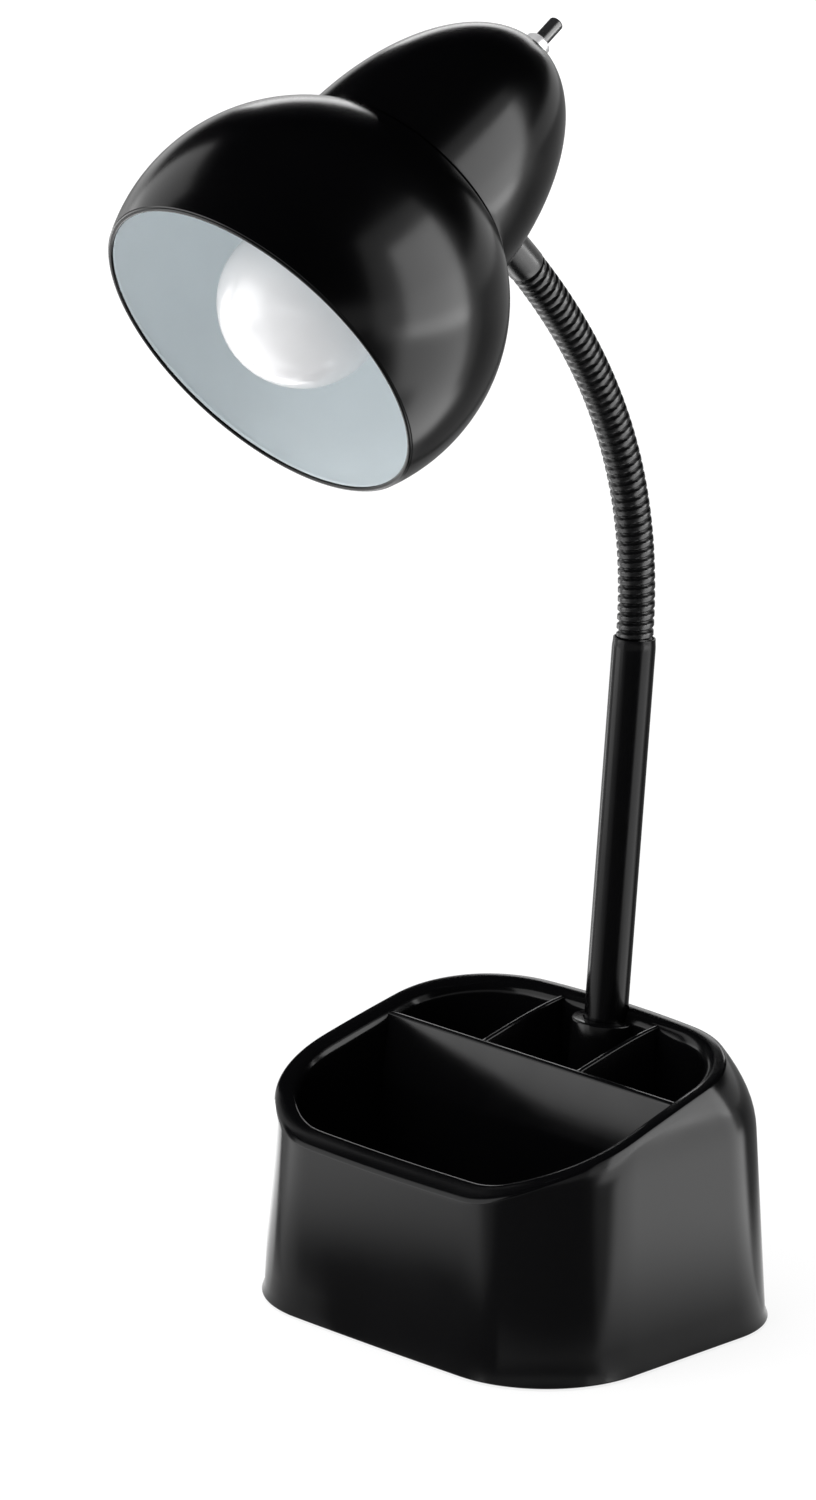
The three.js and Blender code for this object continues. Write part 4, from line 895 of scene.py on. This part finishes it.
# The black shell carries a white lining as a piece of its own, with no room between them to see
def makeShade():
    radius, wall, mouth, seam = head["radius"], head["wall"], head["mouth"], head["seam"]
    edge, bend, hole = head["seamEdge"], head["spigotBend"], socket["radius"] + socket["fit"]
    mouthOuter, mouthInner = circleHeight(radius, mouth), circleHeight(radius - head["hem"], mouth)
    lip = (mouthOuter - mouthInner) / 2
    spigotOuter = cupWall(wall, webRear, cupTip, 2)[0][0] - socket["fit"]
    spigotInner = spigotOuter - wall
    hemTop, liningStart = mouth + head["hemDepth"], mouthInner + head["lining"]
    lining = [(liningStart, mouth + lip), (liningStart, hemTop)]
    lining += sphereArc(radius - wall, hemTop, circleHeight(radius - wall, spigotInner), 44)
    lining += [(spigotInner - bend, webFront - bend), (spigotInner - 3 * bend, webFront), (hole, webFront)]
    outer = arc(((mouthOuter + mouthInner) / 2, mouth + lip), lip, 180, 345, 14)
    outer += sphereArc(radius, mouth + lip, seam - edge, 64)
    outer += arc((circleHeight(radius, seam) - edge * 0.75, seam - edge), edge, 35, 90, 5)
    outer += [(spigotOuter, seam), (spigotOuter, webRear), (hole, webRear)]
    shadeInside = offsetLine(lining, head["lining"] + head["liningGap"])
    newPiece("front_shade_shell", turnedOnHead(outer + shadeInside[::-1], head["sides"]), "shade_black",
             ["front_shade"], "head")
    newPiece("front_shade_lining", turnedOnHead(lining + offsetLine(lining, head["lining"])[::-1],
                                                head["sides"]), "enamel_white", [], "head")


makeShade()


def makeCup():
    front, edge, wall = head["seam"] + head["cupFit"], head["cupEdge"], head["wall"]
    hole, depth = head["switchHole"], head["entryDepth"]
    outer = cupWall(head["paint"], front + edge, cupTip - edge, 64)
    profile = arc((outer[0][0] - edge, front + edge), edge, 270, 350, 4) + outer
    profile += arc((outer[-1][0] - edge, cupTip - edge), edge, 60, 90, 3)
    profile += [(hole, cupTip), (hole, cupTip - wall)] + cupWall(wall, front, cupTip - wall, 40)[::-1]
    piece = newObject("rear_cup_shell", turnedOnHead(profile, head["sides"]))
    across = Matrix.Translation(neckEnd) @ arrival.to_track_quat("Z", "Y").to_matrix().to_4x4()
    combine(piece, placed(rod(neck["cuffBore"], -depth, depth, 64), across), "DIFFERENCE")
    finish(piece, "cup_black", ["rear_cup"], "head")


makeCup()


def makeSocket():
    radius, bore, shoulder, tail = socket["radius"], socket["bore"], socket["shoulder"], socket["tail"]
    fit, edge, boreEdge, lip = socket["fit"], socket["edge"], socket["boreEdge"], socket["lip"]
    shoulderFront = webRear + fit
    shoulderRear = shoulderFront + socket["shoulderThickness"]
    floor = socketRear - socket["back"]
    body = [(0, floor), (bore, floor), (bore, socketFront + boreEdge), (bore + boreEdge, socketFront)]
    body += arc((radius - lip, socketFront + lip), lip, 270, 360, 4)
    body += [(radius, shoulderFront), (shoulder - edge, shoulderFront), (shoulder, shoulderFront + edge),
             (shoulder, shoulderRear - edge), (shoulder - edge, shoulderRear), (radius, shoulderRear),
             (radius, socketRear - socket["taper"]), (tail + edge, socketRear - edge / 2),
             (tail, socketRear), (0, socketRear)]
    newPiece("lampholder_body", turnedOnHead(body, 80, closed=False), "phenolic_black", ["socket_body"], "head")
    inner, outer, ringEdge = radius + fit, socket["ringRadius"], socket["ringEdge"]
    rear = webFront - fit
    front = rear - socket["ring"]
    ring = [(inner, rear), (inner, front + boreEdge)]
    ring += arc((inner + boreEdge, front + boreEdge), boreEdge, 180, 270, 3)
    ring += arc((outer - ringEdge, front + ringEdge), ringEdge, 270, 360, 5) + [(outer, rear)]
    newPiece("lampholder_ring", turnedOnHead(ring, 96), "enamel_white", ["shade_ring"], "head")


makeSocket()

bulb = {"radius": 0.0296, "glass": 0.0009, "length": 0.11, "cap": 0.027, "neckRadius": 0.012,
        "insert": 0.004, "turn": 52, "globeHandle": 0.007, "neckHandle": 0.013, "contact": 0.0012,
        "sides": 96}


# A round globe that runs in one curve into the neck of the glass
def makeBulb():
    foot = socketRear - socket["back"] - bulb["contact"] - 2 * socket["fit"]
    radius, glass, capFront = bulb["radius"], bulb["glass"], foot - bulb["cap"]
    centre = foot - bulb["length"] + radius
    glassFoot = capFront + bulb["insert"]
    turn = math.radians(bulb["turn"])
    outer = arc((0, centre), radius, -90, bulb["turn"], 48)
    low, high = Vector(outer[-1]), Vector((bulb["neckRadius"], capFront))
    lowHandle = low + Vector((-math.sin(turn), math.cos(turn))) * bulb["globeHandle"]
    neckPart = interpolate_bezier(low, lowHandle, high - Vector((0, bulb["neckHandle"])), high, 20)
    outer += [tuple(point) for point in neckPart[1:]] + [(bulb["neckRadius"], glassFoot)]
    outer[0] = (0, centre - radius)
    inner = offsetLine(outer, -glass)
    inner[0] = (0, centre - radius + glass)
    inner[-1] = (bulb["neckRadius"] - glass, glassFoot)
    newPiece("bulb_globe", turnedOnHead(outer + inner[::-1], bulb["sides"], closed=False), "bulb_opal",
             ["bulb_glass"], "head")


makeBulb()

switch = {"bushing": 0.0036, "bushingBore": 0.0018, "bushingFoot": 0.012, "bushingEdge": 0.0004,
          "threadPitch": 0.0006, "threadDepth": 0.00025, "exposure": 0.0046, "nutRadius": 0.0052,
          "nut": 0.0044, "chamfer": 0.0006, "flange": 0.0011, "flangeStep": 0.0005, "stepRise": 0.0001,
          "footEdge": 0.0002, "softEdge": 0.0003, "flutes": 40, "fluteDepth": 0.00018,
          "knobRadius": 0.0027, "knob": 0.0103, "knobEdge": 0.001, "shaft": 0.00145, "fit": 0.0003,
          "sides": 48, "sharpAngle": math.radians(60)}
bushHigh = cupTip + switch["exposure"]


def makeBushing():
    radius, edge, bore = switch["bushing"], switch["bushingEdge"], switch["bushingBore"]
    low = socketRear + 2 * switch["fit"] + switch["bushingFoot"]
    heights = spread(low, bushHigh - edge, 2 * round((bushHigh - low) / switch["threadPitch"]))
    thread = [(radius - (switch["threadDepth"] if step % 2 else 0), height)
              for step, height in enumerate(heights)]
    bushing = [(bore, low)] + thread + [(radius - edge, bushHigh), (bore, bushHigh)]
    newPiece("switch_thread", turnedOnHead(bushing, switch["sides"]), "switch_bright", ["switch_bushing"],
             "head")


# The round nut has a smooth flange at its foot and fine flutes above it
def makeNut():
    foot = cupTip + switch["fit"]
    top, flange = foot + switch["nut"], foot + switch["flange"]
    hole, outer = switch["bushing"] + switch["fit"], switch["nutRadius"]
    chamfer, footEdge, softEdge = switch["chamfer"], switch["footEdge"], switch["softEdge"]
    waist = outer - switch["flangeStep"]
    profile = [(hole, foot), (outer - footEdge, foot), (outer, foot + footEdge), (outer, flange - softEdge),
               (outer - softEdge, flange), (waist, flange + switch["stepRise"]), (waist, top - chamfer)]
    profile += [(waist - chamfer * share, top - chamfer * (1 - share)) for share in (0.5, 1)]
    profile += [(hole + softEdge, top), (hole, top - softEdge)]
    nut = spun(profile, 2 * switch["flutes"])
    for corner in nut.verts:
        reach = math.hypot(corner.co.x, corner.co.y)
        isFlank = reach > waist - switch["stepRise"] and corner.co.z > flange
        step = round(math.atan2(corner.co.y, corner.co.x) / fullTurn * 2 * switch["flutes"])
        if isFlank and step % 2:
            shrink = 1 - switch["fluteDepth"] / reach
            corner.co.x *= shrink
            corner.co.y *= shrink
    newPiece("switch_collar", placed(nut, headPlace), "switch_bright", ["switch_nut"], "head",
             switch["sharpAngle"])


def makeKnob():
    radius, edge, footEdge = switch["knobRadius"], switch["knobEdge"], switch["softEdge"]
    foot = bushHigh + switch["fit"]
    top, bore = foot + switch["knob"], switch["shaft"] + switch["fit"]
    floor = foot + switch["fit"] + switch["shaft"]
    knob = [(0, floor), (bore, floor), (bore, foot), (radius - footEdge, foot), (radius, foot + footEdge)]
    knob += arc((radius - edge, top - edge), edge, 0, 90, 5) + [(0, top)]
    newPiece("switch_grip", turnedOnHead(knob, switch["sides"], closed=False), "knob_black",
             ["switch_knob"], "knob")


makeBushing()
makeNut()
makeKnob()
print("head done")


# Studio: a white floor and a low white backdrop, with the room dark above. Reflections alone see painted pools
# of light and painted shadows on the floor, so that the black gloss has something to show.

studio = {
    "floorRadius": 7, "floorPlace": -0.00005, "floorColour": (0.86, 0.86, 0.865), "glowShare": 0.8,
    "backdropTop": 0.1, "backdropFade": 0.1, "fill": 0.32,
    "near": 0.7, "far": 2.2, "strengths": (1.05, 1.3),
    # Painted reflections: painted pools of light, and painted shadows where the level is below zero
    "patches": [
        {"from": (0.085, -0.06), "to": (0.075, 0.07), "angles": (20, 34, 60, 74), "radii": (0.08, 0.26, 0.4, 0.6),
         "level": 5.8},
        {"from": (0.085, -0.06), "to": (0.075, 0.07), "angles": (2, 12, 52, 62), "radii": (0.4, 0.6, 4, 5),
         "level": 5.6},
        {"from": (-0.075, -0.06), "to": (0.06, -0.075), "angles": (-168, -152, -118, -104),
         "radii": (0.14, 0.3, 0.6, 0.9), "level": 2.8},
        {"from": (-0.02, -0.07), "to": (0.06, -0.075), "angles": (-158, -140, -100, -90),
         "radii": (0.06, 0.09, 0.15, 0.22), "level": -1.1},
        {"from": (-0.075, -0.06), "to": (0.06, -0.075), "angles": (-154, -146, -126, -118),
         "radii": (0.7, 1.15, 4, 5), "level": 5},
        {"from": (0.03, -0.08), "to": (0.08, -0.03), "angles": (-98, -80, -8, 4), "radii": (0.09, 0.2, 5, 6),
         "level": -1.2},
        {"from": (0.05, 0.05), "to": (0.02, 0.08), "angles": (62, 74, 150, 166), "radii": (0.12, 0.24, 6.5, 6.9),
         "level": -0.95},
    ],
}


def polar(tree, place, apex):
    moved = addNode(tree, "ShaderNodeMapping", {
        "Vector": place, "Location": (-apex[0], -apex[1], 0)}).outputs["Vector"]
    axes = addNode(tree, "ShaderNodeSeparateXYZ", {"Vector": moved}).outputs
    distance = addNode(tree, "ShaderNodeVectorMath", {0: moved}, operation="LENGTH").outputs["Value"]
    return worked(tree, "ARCTAN2", axes["Y"], axes["X"]), distance


# A patch of painted light on the floor, painted shade where its level is below zero, between two soft straight
# edges, each with its own apex, and two soft rings round the middle
def paintedReflectionPatch(tree, place, paintedPatch, reach):
    turns = [math.radians(turn) for turn in paintedPatch["angles"]]
    radii = paintedPatch["radii"]
    wedge = worked(tree, "MULTIPLY", eased(tree, polar(tree, place, paintedPatch["from"])[0], *turns[:2], 0, 1),
                   eased(tree, polar(tree, place, paintedPatch["to"])[0], *turns[2:], 1, 0))
    level = worked(tree, "MULTIPLY", eased(tree, reach, *radii[:2], 0, paintedPatch["level"]),
                   eased(tree, reach, *radii[2:], 1, 0))
    return worked(tree, "MULTIPLY", wedge, level)


def directRays(tree):
    path = addNode(tree, "ShaderNodeLightPath").outputs
    seen = worked(tree, "ADD", path["Is Camera Ray"], path["Is Glossy Ray"], True)
    return worked(tree, "ADD", seen, path["Is Transmission Ray"], True), path


# The plain floor is white; where it is only mirrored, the patches add painted light and painted shade to it
def floorGlowAndPaintedReflections(tree, place, path):
    reach = polar(tree, place, (0, 0))[1]
    strength = eased(tree, reach, studio["near"], studio["far"], *studio["strengths"])
    patches = 0.0
    for paintedPatch in studio["patches"]:
        patches = worked(tree, "ADD", paintedReflectionPatch(tree, place, paintedPatch, reach), patches)
    total = worked(tree, "ADD", strength, worked(tree, "MULTIPLY", patches, path["Is Glossy Ray"]))
    return worked(tree, "MAXIMUM", total, 0.0)


def makeFloor():
    bm = bmesh.new()
    bmesh.ops.create_circle(bm, cap_ends=True, radius=studio["floorRadius"], segments=128,
                            matrix=Matrix.Translation((0, 0, studio["floorPlace"])))
    floor = newObject("studio_floor", bm)
    material, tree, place = newMaterial("studioFloor")
    seen, path = directRays(tree)
    glow = addNode(tree, "ShaderNodeEmission", {"Color": (1, 1, 1, 1), "Strength": floorGlowAndPaintedReflections(tree, place, path)})
    matt = addNode(tree, "ShaderNodeBsdfDiffuse", {"Color": tint(studio["floorColour"])})
    share = worked(tree, "MULTIPLY", seen, studio["glowShare"])
    mix = addNode(tree, "ShaderNodeMixShader", {0: share, 1: matt.outputs["BSDF"], 2: glow.outputs["Emission"]})
    addNode(tree, "ShaderNodeOutputMaterial", {"Surface": mix.outputs["Shader"]})
    floor.data.materials.append(material)


def makeWorld():
    world = bpy.data.worlds.new("studioWorld")
    bpy.context.scene.world = world
    tree = freshTree(world)
    seen, path = directRays(tree)
    direction = addNode(tree, "ShaderNodeTexCoord").outputs["Generated"]
    height = addNode(tree, "ShaderNodeSeparateXYZ", {"Vector": direction}).outputs["Z"]
    top = studio["backdropTop"]
    backdrop = worked(tree, "MULTIPLY", seen, eased(tree, height, top, top + studio["backdropFade"], 1, 0))
    fill = worked(tree, "MULTIPLY", path["Is Diffuse Ray"], studio["fill"])
    sky = addNode(tree, "ShaderNodeBackground", {
        "Color": (1, 1, 1, 1), "Strength": worked(tree, "ADD", backdrop, fill)})
    addNode(tree, "ShaderNodeOutputWorld", {"Surface": sky.outputs["Background"]})


makeFloor()
makeWorld()

camera = {"place": Vector((2.28215, -2.29432, 1.19894)), "forward": Vector((-0.68208, 0.67028, -0.29237)),
          "lens": 228, "sensor": 36, "reach": 50}


# Turns an object's -Z along a direction, with its top up
def aimed(place, direction):
    return Matrix.Translation(place) @ direction.to_track_quat("-Z", "Y").to_matrix().to_4x4()


def makeCamera():
    data = bpy.data.cameras.new("camera")
    data.sensor_fit = "VERTICAL"
    data.sensor_height = camera["sensor"]
    data.lens = camera["lens"]
    data.clip_end = camera["reach"]
    view = bpy.data.objects.new("camera", data)
    bpy.context.scene.collection.objects.link(view)
    view.matrix_world = aimed(camera["place"], camera["forward"])
    bpy.context.scene.camera = view


makeCamera()


# Tall soft boxes, mirrored only, give the gloss its highlights. The wide overhead and key lamps light the object
# and aren't mirrored. An angle is counted to the right of the camera, and "bottom" is a box's lower edge.
panels = {
    "right_panel": {"angle": 78, "distance": 1.9, "bottom": 0.0, "size": (1.6, 1.75), "radiance": 6.8},
    "right_backing": {"angle": 70, "distance": 2.0, "bottom": 0.0, "size": (2.6, 2.6), "radiance": 1.5},
    "left_panel": {"angle": -78, "distance": 1.9, "bottom": 0.0, "size": (1.5, 1.2), "radiance": 3.2},
    "rear_left_panel": {"angle": -128, "distance": 2.0, "bottom": 0.0, "size": (1.2, 2.0), "radiance": 1.8},
    "rear_strip": {"angle": 172, "distance": 2.4, "bottom": 0.75, "size": (1.6, 0.5), "radiance": 3},
}
overhead = {"place": Vector((-0.3, -0.2, 2.2)), "size": (2.4, 2.4), "radiance": 3.2}
keyLight = {"angle": -62, "distance": 1.7, "height": 0.95, "size": (1.8, 1.8), "radiance": 2.1}
lookAt = Vector((0, -0.03, 0.25))


def aroundLamp(lamp, height):
    towardCamera = Vector((-camera["forward"].x, -camera["forward"].y, 0)).normalized()
    right = Vector((-towardCamera.y, towardCamera.x, 0))
    angle = math.radians(lamp["angle"])
    place = (towardCamera * math.cos(angle) + right * math.sin(angle)) * lamp["distance"]
    place.z = height
    return place


def addPanel(name, look, place, target, mirrored):
    data = bpy.data.lights.new(name, "AREA")
    data.shape = "RECTANGLE"
    data.size, data.size_y = look["size"]
    data.energy = look["radiance"] * math.pi * data.size * data.size_y
    lamp = bpy.data.objects.new(name, data)
    bpy.context.scene.collection.objects.link(lamp)
    lamp.matrix_world = aimed(place, target - place)
    lamp.visible_camera = False
    lamp.visible_glossy = mirrored
    lamp.visible_diffuse = not mirrored


def makePanels():
    for name, panel in panels.items():
        place = aroundLamp(panel, panel["bottom"] + panel["size"][1] / 2)
        addPanel(name, panel, place, Vector((0, 0, place.z)), True)
    addPanel("key_light", keyLight, aroundLamp(keyLight, keyLight["height"]), lookAt, False)
    addPanel("overhead", overhead, overhead["place"], lookAt, False)


makePanels()
bpy.context.scene.view_settings.view_transform = "Standard"
print("studio done")
